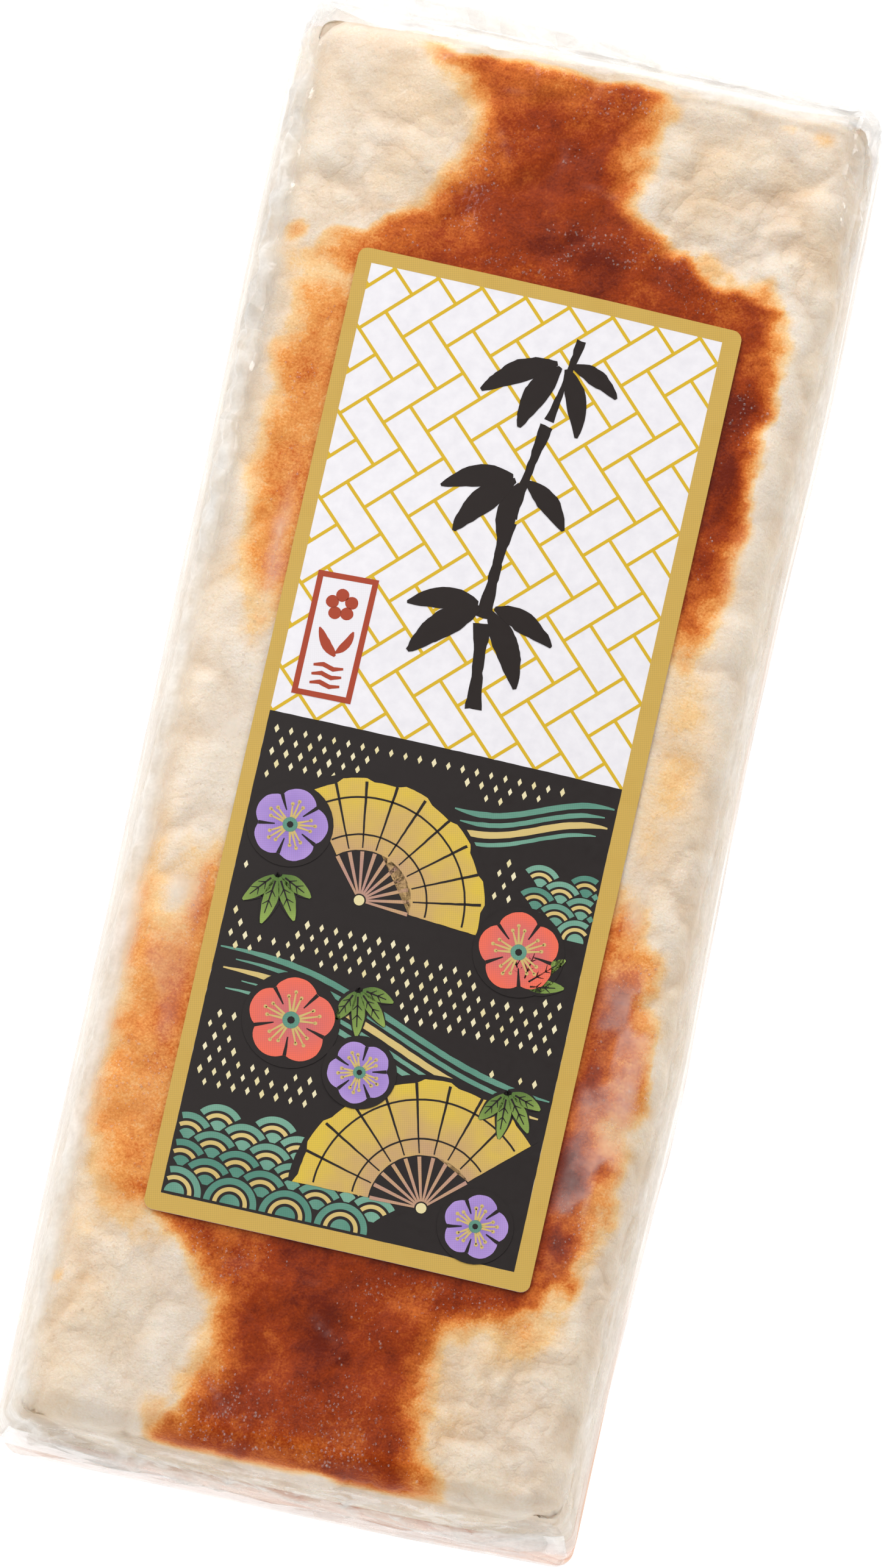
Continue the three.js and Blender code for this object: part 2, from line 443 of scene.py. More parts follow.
def mixColour(tree, factor, a, b, blend="MIX"):
    node = add(tree, "Mix", {0: factor, 6: a, 7: b}, data_type="RGBA", blend_type=blend)
    return node.outputs[2]


def bump(tree, height, strength, distance, normal=None):
    inputs = {"Height": height, "Strength": strength, "Distance": distance * mm}
    if normal is not None:
        inputs["Normal"] = normal
    return add(tree, "Bump", inputs).outputs["Normal"]


def mirrorShare(tree, straightOn, normal=None, glancing=1.0):
    # how much a clear skin mirrors, the same from both of its sides
    inputs = {"Blend": 0.5, "Normal": normal} if normal else {"Blend": 0.5}
    grazing = calc(tree, "POWER", add(tree, "LayerWeight", inputs).outputs["Facing"], 5.0)
    return calc(tree, "MULTIPLY_ADD", grazing, glancing - straightOn, third=straightOn)


def surface(tree, **inputs):
    return add(tree, "BsdfPrincipled", {key.replace("_", " "): one for key, one in inputs.items()})


def showSurface(tree, shader):
    plug(tree, shader, add(tree, "OutputMaterial").inputs["Surface"])


def seen(red, green, blue):
    # a colour as seen on screen, from 0 to 255
    def one(c):
        c = c / 255
        return c / 12.92 if c <= 0.04045 else ((c + 0.055) / 1.055) ** 2.4
    return (one(red), one(green), one(blue))


# The fish cake

browned = {
    # a browned waist at each end of the top: its narrowest place (y, left edge, right edge), how fast each
    # edge flares away from there (left outwards, left inwards, right outwards, right inwards), softness left
    # and right, tone, and how far from the middle of the bar it begins
    "waists": [(62.8, -11.0, 6.4, 0.066, 0.03, 0.026, 0.045, 7.0, 5.0, 0.64, 47.0),
               (-66.0, -10.9, 11.6, 0.036, 0.018, 0.03, 0.026, 6.0, 6.0, 0.7, 52.0)],
    # browned strips beside the label: middle, reach across and along, how square, softness, tone
    "strips": [(-19.4, 30, 6.8, 23.5, 3.2, 4.0, 0.25), (18.6, 34, 6.4, 20.5, 3.0, 4.4, 0.78),
               (-20, -36.5, 8.2, 20.5, 3.0, 4.0, 0.23), (19, -33, 8.4, 24.0, 2.4, 5.0, 0.5)],
    # (x, y, reach across, reach along, deeper or paler)
    "tones": [(-3.5, 62, 5, 6, 0.1), (6, 54, 9, 4, 0.18), (-7, 71.0, 9, 2.6, -0.16),
              (-14, 71.8, 3, 1.6, 0.03), (0, -62, 5, 7, 0.2), (2, -69, 6, 3, 0.03),
              (-11.5, -60, 3, 9, -0.12), (-8, -71, 5, 3, -0.04), (-13.4, -73.8, 2.4, 2.6, -0.14),
              (-21.6, -33, 1.6, 5, 0.14), (-24.0, -21, 2.4, 4, -0.18), (20.8, -49, 2.4, 9, 0.6),
              (22.0, -30, 3, 9, -0.06), (22.4, 38, 3, 15, 0.12), (0, -75.5, 14, 2.6, -0.16),
              (-21.5, 51.5, 6.5, 4.5, -0.4), (14, 54.2, 4, 1.5, -0.1)],
    # small spots: middle, reach, tone
    "spots": [(-26.4, 50.4, 0.9, 0.16), (20.8, 72.6, 0.9, 0.08), (24.6, 71.8, 1.1, 0.05),
              (-27.6, -62.5, 0.6, 0.08), (-14.4, -75, 1.8, 0.1), (-12.6, -71, 1.2, 0.05),
              (-15.6, 71.9, 1.1, 0.12), (15.5, 55.5, 1.4, 0.1)],
    # faint yellow places; the ones at (23, 4), (24, 64), (13, 64), (16, -66) and (13.5, -66) are painted
    # shade of the cream on the right side, the rest are the food's own yellow tone
    "yellowAndShade": [(-27, 10, 2.5, 60, 0.006), (-27.0, -22, 1.2, 8, 0.12), (-21, -20, 1, 5, 0.14),
                 (24, 64, 5, 7, 0.012), (-20, 68, 6, 5, 0.015), (23, 4, 3, 14, 0.06),
                 (16, -66, 6, 8, 0.01), (13.5, -66, 3, 9, 0.03), (20, -58, 3, 3, 0.14),
                 (-25, -55, 3, 12, 0.03), (13, 64, 5, 6, 0.012), (-16, 60, 4, 7, 0.02)],
    "farEnd": 72.6,  # the browning stops here in a wavy line
    "mottle": (0.42, 4.5),  # how strong and how large the deeper and paler patches are
    "speckle": (0.16, 1.1),
}


def waistReach(x, y, waist):
    # how far inside the left and the right edge of a waist each place is
    middle, left, right, leftOut, leftIn, rightOut, rightIn = waist[:7]
    distance = np.abs(y - middle)
    outwards = (y - middle) * middle > 0
    leftEdge = left - np.where(outwards, leftOut * distance ** 2, leftIn * distance ** 2.5)
    rightEdge = right + np.where(outwards, rightOut * distance ** 2, rightIn * distance ** 2.5)
    return x - np.maximum(leftEdge, -25.5), np.minimum(rightEdge, 24.5 if middle > 0 else 21.0) - x


def browningAt(x, y, z):
    px = x + 1.2 * cloud(x / 4, y / 4, 51)
    py = y + 1.2 * cloud(x / 4, y / 4, 61)
    ragged = 1.3 * cloud(x / 2.2, y / 2.2, 55, 5)
    brown = np.zeros(np.shape(x))
    for waist in browned["waists"]:
        fromLeft, fromRight = waistReach(px, py, waist)
        softLeft, softRight, tone, begins = waist[7:]
        inside = smooth((fromLeft + ragged + 0.3 * softLeft) / softLeft)
        inside = inside * smooth((fromRight + ragged + 0.3 * softRight) / softRight)
        brown = np.maximum(brown, tone * inside * smooth((np.sign(waist[0]) * py - begins + 2.5) / 4))
    for cx, cy, a, b, squareness, softness, tone in browned["strips"]:
        ratio = np.abs((px - cx) / a) ** squareness + np.abs((py - cy) / b) ** squareness
        ratio = ratio ** (1 / squareness)
        brown = np.maximum(brown, tone * smooth(((1 - ratio) * a + ragged + 0.8) / softness))
    inside = smooth(brown / 0.2)
    for cx, cy, a, b, amount in browned["tones"]:
        brown = brown + amount * inside * hill(px - cx, py - cy, a, b)
    (strong, large), (faint, small) = browned["mottle"], browned["speckle"]
    mottle = strong * cloud(x / large, y / large, 71, 5) + faint * cloud(x / small, y / small, 75, 4)
    patches = 1.1 * cloud(x / 3.0, y / 4.5, 85, 4) * smooth((x - 19) / 2) * smooth((-6 - y) / 6)
    veins = 0.1 * smooth(brown / 0.2) * np.abs(cloud(x / 2.5, y / 2.5, 91, 4))
    brown = brown * (1 + mottle + patches) + veins
    for cx, cy, size, amount in browned["spots"]:
        brown = brown + amount * smooth(1.5 - np.hypot(px - cx, py - cy) / size)
    # yellow places, some of them painted shade of the cream
    for cx, cy, a, b, amount in browned["yellowAndShade"]:
        brown = brown + amount * hill(px - cx, py - cy, a, b) * (1 + cloud(x / 3, y / 3, 79, 3))
    onTop = smooth((z - cakeTop + 6.5) / 4)
    farEdge = smooth((browned["farEnd"] + 0.9 * cloud(x / 3.5, 0.3 * y, 83, 4) - y) / 1.2)
    nearEdge = smooth((cake["length"] / 2 + 2.7 + y) / 0.5)
    return np.clip(brown * onTop * farEdge * nearEdge, 0, 1)


def skewed(x, y, z):
    upward = smooth((z - cake["floor"]) / (cake["height"] - cake["rollDrop"]))
    share = smooth(y / (cake["length"] / 2)) * upward
    return y + cake["endSkew"] * share * x / cake["width"]


def cakeSection(y, columns, side):
    half = float(halfWidth(y, cake["width"], cake["length"], cake["corner"]))
    x = turningSteps(half, cake["rollReach"], columns, 9)
    z = cakeHeight(x, np.full_like(x, y))
    down = np.linspace(0, 1, side + 1)[1:]
    wallX = half + cake["flare"] * np.sin(down * math.pi / 2)
    rightZ = z[-1] + (cake["floor"] - z[-1]) * down
    leftZ = z[0] + (cake["floor"] - z[0]) * down
    under = np.linspace(1, -1, 9)[1:-1] * (half + cake["flare"])
    allX = np.concatenate([-wallX[::-1], x, wallX, under])
    allZ = np.concatenate([leftZ[::-1], z, rightZ, np.full(7, cake["floor"])])
    return allX, allZ


def foodRelief(s, y, lumpy, puff):
    # how far the skin stands out in lumps and waves, and how deep the creases and hollows between them are,
    # for the painted shade in them
    billow = np.abs(cloud((s + 1.5 * cloud(s / 5, y / 5, 47, 2)) / 7.5, y / 8.5, 43, 3)) ** 0.7
    relief = cake["puff"] * (puff - 0.75) * lumpy + cake["ripple"] * (np.minimum(billow, 0.7) - 0.5)
    relief = relief + 0.07 * cloud(s / 1.6, y / 1.6, 49, 3)
    crease = smooth((0.38 - puff) / 0.38) * lumpy * smooth(0.6 + 1.4 * cloud(s / 4, y / 4, 53, 2))
    crease = np.maximum(crease, 0.7 * smooth((0.16 - billow) / 0.16))
    return relief, np.maximum(crease, 0.45 * smooth((0.5 - billow) / 0.5))


def makeFishCake(material):
    stations = turningSteps(cake["length"] / 2, 4.0, 245, 12)
    rings = []
    for y in stations:
        x, z = cakeSection(y, 100, 22)
        rings.append(np.stack([x, skewed(x, np.full_like(x, y), z), z], -1))
    grid = np.stack(rings)
    shares = [0.985, 0.95, 0.9, 0.84, 0.77, 0.69, 0.6, 0.5, 0.4, 0.3, 0.2, 0.1]
    near, far = closingRings(grid, cake["floor"] + cake["height"] * 0.5, shares)
    near[:, :, 1] -= 0.35 * smooth(fromEdge(near, grid[0]) / 6)
    far[:, :, 1] += 0.35 * smooth(fromEdge(far, grid[-1]) / 6)
    grid = np.concatenate([near[::-1], grid, far])
    s, y = roundDistance(grid), grid[:, :, 1]
    top = smooth((grid[:, :, 2] - cake["floor"] - 1.5) / 3)
    clear = clearOfLabel(grid[:, :, 0], y)
    lumpy = lumpyShare(s, y)
    relief, crease = foodRelief(s, y, lumpy, puffAt(s, y))
    grain = cake["grain"] * cloud(s / 0.9, y / 0.9, 41, 2)
    offset = cake["grow"] + top * (relief * (0.2 + 0.8 * clear) + grain)
    grid = grid + surfaceNormals(grid) * offset[:, :, None]
    grid = roundedInPlan(swollen(grid), 0.1)
    underFilm = heightAt(skinHeights, grid[:, :, 0], grid[:, :, 1]) + film["grow"] - 0.05
    grid[:, :, 2] = np.maximum(np.minimum(grid[:, :, 2], underFilm), boardHigh[2])
    points, faces = closedTube(leaning(grid))
    piece = makePiece("fishCake", points, faces, material, "fish_cake")
    addValue(piece, "browning", browningAt(points[:, 0], points[:, 1], points[:, 2]))
    # the creases and hollows, which get painted shade
    addValue(piece, "crease", np.append(crease, [0.3, 0.3]))
    lumpiness = np.clip(0.45 + 0.9 * cloud(s / 14, y / 14, 57, 2) + 0.7 * lumpy, 0.2, 1.4)
    addValue(piece, "openTop", np.append(top * (0.25 + 0.75 * clear) * lumpiness, [0, 0]))
    return piece


foodColours = {
    "cream": (237, 226, 212),
    "creaseShade": (222, 194, 160),
    "yellow": (244, 208, 156),
    "amber": (238, 164, 88),
    "orange": (212, 114, 42),
    "brown": (162, 62, 8),
    "dark": (112, 32, 4),
}


def fishPaste():
    material, tree = newMaterial("grilledFishPaste")
    brown, crease = value(tree, "browning"), value(tree, "crease")
    fine, sand = noise(tree, 1100, 5, 0.62), noise(tree, 4200, 2, 0.6)
    broad = noise(tree, 150, 4, 0.6)
    lumps = None
    for scale, detail in ((140, 2), (300, 1)):  # soft lumps with creases between them
        wavering = calc(tree, "ABSOLUTE", minus(tree, noise(tree, scale, detail, 0.5), 0.5))
        lump = calc(tree, "POWER", times(tree, wavering, 4.0, clamp=True), 0.85)
        lumps = calc(tree, "MULTIPLY_ADD", lump, 0.4, third=lumps) if lumps else lump
    lumpiness = times(tree, value(tree, "openTop"), spread(tree, brown, 0.1, 0.5, 1.0, 0.35))
    speckle = times(tree, minus(tree, fine, 0.5), 0.36)
    speckle = plus(tree, speckle, times(tree, minus(tree, sand, 0.5), 0.42))
    speckle = plus(tree, speckle, times(tree, minus(tree, broad, 0.5), 0.22))
    amount = plus(tree, brown, times(tree, speckle, spread(tree, brown, 0.02, 0.35, 0.06, 1)))
    shade = {name: seen(*rgb) for name, rgb in foodColours.items()}
    skin = ramp(tree, amount, [(0.0, shade["cream"]), (0.07, shade["yellow"]), (0.22, shade["amber"]),
                               (0.4, shade["orange"]), (0.66, shade["brown"]), (0.96, shade["dark"])])
    # painted shade: the creases and hollows, and the low places between the bumped lumps, are darkened with
    # creaseShade
    skin = mixColour(tree, times(tree, crease, 0.5), skin,
                     mixColour(tree, 1.0, skin, shade["creaseShade"], "MULTIPLY"))
    skin = mixColour(tree, times(tree, spread(tree, lumps, 0.0, 0.7, 0.3, 0.0), lumpiness), skin,
                     mixColour(tree, 1.0, skin, shade["creaseShade"], "MULTIPLY"))
    warm = spread(tree, noise(tree, 110, 3, 0.5), 0.4, 0.65, 0, 0.35)
    skin = mixColour(tree, warm, skin, mixColour(tree, 1.0, skin, seen(250, 238, 214), "MULTIPLY"))
    pale = spread(tree, sand, 0.35, 0.7, 0.0, 0.35)
    skin = mixColour(tree, pale, skin, mixColour(tree, 1.0, skin, seen(238, 228, 214), "MULTIPLY"))
    normal = bump(tree, times(tree, lumps, lumpiness), 0.3, 1.2)
    normal = bump(tree, fine, 0.7, 0.28, normal)
    normal = bump(tree, sand, 0.5, 0.08, normal)
    roughness = spread(tree, broad, 0.3, 0.7, 0.38, 0.52)
    shader = surface(tree, Base_Color=skin, Roughness=roughness, Normal=normal,
                     Specular_IOR_Level=0.09, Subsurface_Weight=0.2, Subsurface_Radius=(1.0, 0.5, 0.25),
                     Subsurface_Scale=0.0012)
    showSurface(tree, shader)
    return material


# The board

wood = {
    "clearUnder": 0.12,  # the film runs underneath
    "corner": 1.5,
    "saw": 0.05,  # roughness of the sawn ends
    "nearGap": 0.3,  # the near end comes closer to the film
    "light": (250, 222, 202),
    "mid": (246, 206, 182),
    "late": (230, 174, 148),
}


def boardOutline(halfX, halfY, corner, z):
    points = []
    for cx, cy, start in ((1, -1, -90), (1, 1, 0), (-1, 1, 90), (-1, -1, 180)):
        for degrees in np.linspace(start, start + 90, 6):
            t = math.radians(degrees)
            points.append((cx * (halfX - corner) + corner * math.cos(t),
                           cy * (halfY - corner) + corner * math.sin(t), z))
    dense = []
    for k, p in enumerate(points):
        q = points[(k + 1) % len(points)]
        count = (100, 40)[k // 6 % 2] if k % 6 == 5 else 1  # the straight sides are cut finer
        for n in range(count):
            dense.append([p[m] + (q[m] - p[m]) * n / count for m in range(3)])
    return np.array(dense)


def makeBoard(material):
    low, high = boardLow.copy(), boardHigh.copy()
    low[2] += wood["clearUnder"]
    half = (high - low) / 2
    levels = [(low[2], 0.6), (low[2] + 0.16, 0.2), (low[2] + 0.55, 0)]
    levels += [(z, 0) for z in np.linspace(low[2] + 1.6, high[2] - 1.6, 7)]
    levels += [(high[2] - 0.55, 0), (high[2] - 0.16, 0.2), (high[2], 0.6)]
    grid = np.stack([boardOutline(half[0] - inset, half[1] - inset, wood["corner"], z)
                     for z, inset in levels])
    sawn = np.abs(grid[:, :, 1]) > half[1] - 0.1
    grid = leaning(roundedInPlan(grid, 0))
    grid[:, :, 1] -= wood["nearGap"] * smooth((-grid[:, :, 1] - 70) / 4)
    grid[:, :, 1] += wood["saw"] * cloud(grid[:, :, 0] / 0.9, grid[:, :, 2] / 5, 81, 3) * sawn
    rows, columns = grid.shape[:2]
    faces = gridFaces(rows, columns, closed=True)
    faces += [list(range(columns)), [(rows - 1) * columns + i for i in range(columns)]]
    return makePiece("woodenBoard", grid.reshape(-1, 3), faces, material, "board", 25)


def paleWood():
    material, tree = newMaterial("paleBoardWood")
    split = add(tree, "SeparateXYZ", {"Vector": place(tree)})
    grainPlace = place(tree, (1, 0.06, 1))
    warp = times(tree, minus(tree, noise(tree, 45, 3, 0.5, grainPlace), 0.5), 0.012)
    dx = plus(tree, split.outputs["X"], 0.011)
    dz = plus(tree, split.outputs["Z"], 0.052)
    radius = calc(tree, "SQRT", plus(tree, times(tree, dx, dx), times(tree, dz, dz)))
    ring = calc(tree, "FRACT", times(tree, plus(tree, radius, warp), 420))
    light, mid, late = (seen(*wood[name]) for name in ("light", "mid", "late"))
    rings = ramp(tree, ring, [(0.0, light), (0.55, mid), (0.86, late), (1.0, light)])
    fibre = noise(tree, 1500, 4, 0.6, grainPlace)
    colour = mixColour(tree, spread(tree, fibre, 0.35, 0.7, 0, 0.4), rings,
                       mixColour(tree, 1.0, rings, seen(222, 190, 165), "MULTIPLY"))
    normal = bump(tree, fibre, 0.4, 0.12, bump(tree, ring, 0.15, 0.15))
    showSurface(tree, surface(tree, Base_Color=colour, Roughness=spread(tree, fibre, 0.3, 0.7, 0.55, 0.75),
                              Normal=normal))
    return material


# The film

film = {
    "grow": 0.4,  # how far it stands off the food's stretched skin
    "farPuff": 2.1,  # how much further it puffs out at the far end
    "endFold": 0.9,  # how far the folded ends stand out from the board
    "foldSeed": 11,
    "zigzagReach": 0.9,
    # how milky it is over the air pockets, down the right and left sides, and over the near and far ends
    "pocketVeil": 0.33,
    "gapVeil": 0.022,  # where it bridges a crease of the food
    "sideVeil": 0.55,
    "leftVeil": 0.85,
    "endVeil": 0.34,
    "farVeil": 0.74,
    "foldHighlight": 0.85,  # painted white highlight along the folds over the ends
    "shoulderCrumple": 1.3,
    "endCrumple": 1.1,
    "farHighlight": 0.8,  # a painted white highlight where the far end turns down
    # air pockets beside the label: middle across, half width, near end, far end, how strong
    "pockets": [(-23.6, 1.4, -48, -13, 0.45), (23.6, 1.9, -54, -17, 1.0)],
    # soft white places on top: (x, y, reach across, reach along, how white)
    "glare": [(-23.8, -20.5, 1.5, 2.6, 0.35), (-21.6, 16, 0.7, 6, 0.4), (-22.2, -3, 1.6, 4.5, 0.3),
              (-24.3, -1, 1.2, 3, 0.15), (22.4, -12.5, 1.1, 2.6, 0.4), (21.4, 58, 2, 3, 0.1),
              (-4, 73.6, 5, 0.5, 0.3), (14, 73.4, 6, 0.6, 0.35), (-15, -71, 1.4, 1.6, 0.2),
              (-23, 66, 3, 5, 0.1), (25.5, 20, 1.2, 18, 0.12), (-27.6, 30, 0.8, 22, 0.25),
              (-27.8, -20, 0.8, 18, 0.2)],
}


def tensionFolds():
    # small folds in the film: start and end as (distance round the bar, distance along it), width, height
    draw = random.Random(film["foldSeed"])
    folds = []
    for side in (-1, 1):
        y, swing = -73.0, 1
        while y < 74:  # a zigzag along each long edge, where the film is pulled over
            step = draw.uniform(1.6, 4.6)
            s0 = 29.6 + swing * draw.uniform(0.2, 1) * film["zigzagReach"]
            s1 = 29.6 - swing * draw.uniform(0.2, 1) * film["zigzagReach"]
            if draw.random() < 0.85:
                folds.append((side * s0, y, side * s1, y + step,
                              draw.uniform(0.25, 0.5), draw.uniform(0.12, 0.32)))
            y, swing = y + step * draw.uniform(0.7, 1), -swing
        y = -74.0
        while y < 74:  # folds that run down the sides
            folds.append((side * draw.uniform(28.5, 30.5), y, side * draw.uniform(33, 42),
                          y + draw.uniform(-5, 5), draw.uniform(0.25, 0.5), draw.uniform(0.06, 0.2)))
            y += draw.uniform(2, 6)
        y = -72.0
        while y < 66:  # long shallow folds along the sides
            length = draw.uniform(8, 30)
            s = draw.uniform(32, 46)
            folds.append((side * s, y, side * (s + draw.uniform(-2, 2)), y + length, draw.uniform(0.3, 0.7),
                          draw.uniform(0.08, 0.22)))
            y += draw.uniform(4, 12)
    for _ in range(30):  # a few faint ones over the top
        x, y = draw.uniform(-25, 25), draw.choice((-1, 1)) * draw.uniform(55, 73)
        turn, reach = draw.uniform(0, math.pi), draw.uniform(1.5, 6)
        folds.append((x, y, x + reach * math.cos(turn), y + reach * math.sin(turn),
                      0.18, draw.uniform(0.02, 0.05)))
    return folds


def foldRelief(s, y, folds, sharpness=1.0):
    total = np.zeros_like(s)
    for s0, y0, s1, y1, width, height in folds:
        ds, dy = s1 - s0, y1 - y0
        near = (s > min(s0, s1) - 3) & (s < max(s0, s1) + 3) & (y > min(y0, y1) - 3) & (y < max(y0, y1) + 3)
        if not near.any():
            continue
        sn, yn = s[near], y[near]
        t = np.clip(((sn - s0) * ds + (yn - y0) * dy) / (ds * ds + dy * dy), 0, 1)
        distance = np.hypot(sn - s0 - t * ds, yn - y0 - t * dy)
        fade = np.sin(np.clip(t, 0.02, 0.98) * math.pi) ** 0.6
        total[near] = np.maximum(total[near], height * fade * np.exp(-(distance / width) ** (2 - sharpness)))
    return total


def filmSection(y, columns, side):
    grow = film["grow"]
    half = float(halfWidth(y, cake["width"], cake["length"], cake["corner"]))
    along = y * (boardHigh[1] + grow) / (cake["length"] / 2)
    boardHalf = grow + float(halfWidth(along, boardHigh[0] * 2, 2 * (boardHigh[1] + grow), 1.5))
    x = turningSteps(half, cake["rollReach"], columns, 12)
    z = heightAt(skinHeights, x, np.full_like(x, y)) + grow
    foot = max(half + cake["flare"] + grow, boardHalf)
    down = np.linspace(0, 1, side + 1)[1:]
    wallX = np.concatenate([half + grow + (foot - half - grow) * np.sin(down * math.pi / 2) ** 0.9,
                            np.full(9, boardHalf), [boardHalf - 0.12, boardHalf - 0.5]])
    below = np.concatenate([np.linspace(boardHigh[2] - 1.5, 0.7, 9), [0.22, 0.06]])
    rightZ = np.concatenate([z[-1] + (boardHigh[2] - 0.6 - z[-1]) * down, below])
    leftZ = np.concatenate([z[0] + (boardHigh[2] - 0.6 - z[0]) * down, below])
    under = np.linspace(1, -1, 52)[1:-1] * (boardHalf - 0.5)
    allX = np.concatenate([-wallX[::-1], x * (1 + grow / half), wallX, under])
    allZ = np.concatenate([leftZ[::-1], z, rightZ, np.full(50, 0.05)])
    return allX, allZ, along


def endFolds(draw, mirrored):
    # folds over an end, in places across it and up it: pleats from the top corners, gathers and hem wrinkles
    side = -1 if mirrored else 1
    folds = [(-30, 21, -15, 12, 1.0, 0.55), (-29, 18, -9, 3, 1.2, 0.5), (-15, 22, -16.5, 4, 0.35, 0.75),
             (-14.5, 21, -9, 6, 0.8, 0.4), (-14, 21.5, -3, 12, 0.9, 0.4), (-13.5, 22, 4, 15, 0.7, 0.3),
             (-5.5, 22, -6.2, 14, 0.3, 0.5), (-5, 21, 5, 11, 0.8, 0.35), (10, 19, 15, 9, 0.4, 0.45),
             (27, 20, 18, 10, 0.5, 0.4), (30, 21, 24, 6, 0.8, 0.5), (6, 14, 22, 11, 0.8, 0.3)]
    folds = [(side * x0, z0, side * x1, z1, width, height) for x0, z0, x1, z1, width, height in folds]
    for _ in range(4):  # wrinkles along the hem, over the board's end
        x, z = draw.uniform(-30, 26), draw.uniform(0.5, 9.5)
        folds.append((x, z, x + draw.uniform(6, 16), z + draw.uniform(-1.6, 1.6), draw.uniform(0.4, 0.9),
                      draw.uniform(0.12, 0.35)))
    for _ in range(16):  # and longer ones that fan out downwards
        x, z = draw.uniform(-28, 28), draw.uniform(15, 23)
        folds.append((x, z, x + draw.uniform(-4, 4), z - draw.uniform(9, 18), draw.uniform(0.35, 0.8),
                      draw.uniform(0.2, 0.5)))
    return folds


def endRelief(x, z, depth, seed, mirrored=False):
    # how far the folded film stands out from an end, depth being the way in from its rim
    draw = random.Random(seed)
    creaseHeight = boardHigh[2] + (cakeTop - cake["rollDrop"] - boardHigh[2]) * np.abs(x) / boardHigh[0]
    onFlap = smooth((creaseHeight - z + 2.5) / 4)
    crumple = film["endCrumple"] * facets(x, z * 0.1, 9, seed + 1) - 0.35
    folds = foldRelief(x, z, endFolds(draw, mirrored), 0.8)
    loose = 0.12 + 0.88 * smooth((z - 1) / 11)
    relief = (film["endFold"] * (0.1 + 0.2 * onFlap) + folds + crumple) * loose * smooth(depth / 2.2)
    return relief, folds * loose


def airPockets(x, y):
    # where the film stands off the food, it looks like a thin pink haze
    share = 0
    for middle, half, nearEnd, farEnd, amount in film["pockets"]:
        across = smooth(1 - (np.abs(x - middle) - half) / 1.6)
        share = share + amount * (across * smooth((y - nearEnd) / 6) * smooth((farEnd - y) / 5))
    patchy = smooth((cloud(x / 3.6, y / 7, 131, 3) + 0.16) / 0.16)
    return share * (0.15 + 0.85 * patchy)


def filmRings():
    # rings round the bar and over both ends, which of them go round the bar, and the folds over the ends
    stations = turningSteps(cake["length"] / 2, 4.0, 270, 14)
    rings = []
    for y in stations:
        x, z, along = filmSection(y, 96, 26)
        rings.append(np.stack([x, skewed(x, np.full_like(x, along), z), z], -1))
    grid = np.stack(rings)
    shares = np.append([0.99, 0.975], np.linspace(0.955, 0.025, 30))
    near, far = closingRings(grid, cakeTop * 0.5, shares)
    nearRelief, nearLines = endRelief(near[:, :, 0], near[:, :, 2], fromEdge(near, grid[0]), 91)
    farRelief, farLines = endRelief(far[:, :, 0], far[:, :, 2], fromEdge(far, grid[-1]), 95, mirrored=True)
    near[:, :, 1] -= nearRelief
    far[:, :, 1] += farRelief
    puffed = 1 - 0.85 * smooth((far[:, :, 0] + 6) / 22)
    far[:, :, 1] += film["farPuff"] * puffed * smooth(fromEdge(far, grid[-1]) / 3)
    inBody = np.zeros(len(grid) + 2 * len(shares))
    inBody[len(shares):-len(shares)] = 1
    endLines = np.concatenate([nearLines[::-1], np.zeros(grid.shape[:2]), farLines])
    return np.concatenate([near[::-1], grid, far]), inBody, endLines


def filmSlack(s, y, clear, folded, shoulder):
    # how far the film stands off in flat facets: down the sides, along the long edges, and on top by the ends
    slack = (0.5 * facets(s, y * 0.22, 6, 103) - 0.2) * smooth((np.abs(s) - 28) / 5)
    slack = slack + (film["shoulderCrumple"] * facets(s, y * 1.3, 3.6, 111) - 0.3) * folded * shoulder
    return slack + 0.07 * facets(s, y, 4, 109) * smooth((np.abs(y) - 58) / 12) * clear


def filmVeil(grid, s, clear, atEnds, atSides, relief, endLines):
    # how milky the film is at each place, with painted white highlights on the folds, at the glare places and
    # at the far end
    x, y, z = grid[:, :, 0], grid[:, :, 1], grid[:, :, 2]
    gap = np.clip((heightAt(skinHeights, x, y) - cakeHeight(x, y)) / 0.5, 0, 1)
    onTop = smooth((z - cakeTop + 6) / 3)
    patchy = smooth(1.8 * cloud(s / 6, y / 6, 113, 4) + 0.2)
    leftVeil = film["leftVeil"] * (1 - 0.65 * smooth((y - 64) / 6))
    nearVeil = film["endVeil"] * (0.15 + 0.85 * smooth((z - 7) / 5))
    # painted highlights: the ridges of the folds and the fold lines over the ends are made milky white
    veil = (film["gapVeil"] * gap * patchy * onTop * clear + film["pocketVeil"] * airPockets(x, y) * onTop
            + np.where(s < 0, leftVeil, film["sideVeil"] * (0.6 + 0.6 * patchy)) * atSides
            + np.where(y > 0, film["farVeil"], nearVeil) * atEnds
            + 0.5 * np.clip(relief / 0.22, 0, 1) + film["foldHighlight"] * smooth((endLines - 0.1) / 0.2))
    # painted highlight: a white band where the film turns down over the far end
    bandEdge = browned["farEnd"] + 0.2 + 0.9 * cloud(x / 3.5, 0.3 * y, 83, 4)
    band = smooth((y - bandEdge) / 0.5) * smooth((74.4 + 0.5 * cloud(x / 5, 0, 87, 3) - y) / 0.8)
    band = band * smooth((x + 16) / 4) * smooth(1.2 + 1.2 * cloud(x / 6, 3.0, 89, 3))
    veil = veil + film["farHighlight"] * band * onTop
    for cx, cy, a, b, amount in film["glare"]:
        spotX, spotY = x + 0.8 * cloud(x / 2, y / 3, 117, 3) - cx, y + 1.2 * cloud(x / 2, y / 3, 119, 3) - cy
        veil = veil + amount * hill(spotX, spotY, a, b) * onTop
    return np.clip(veil, 0, 0.85)


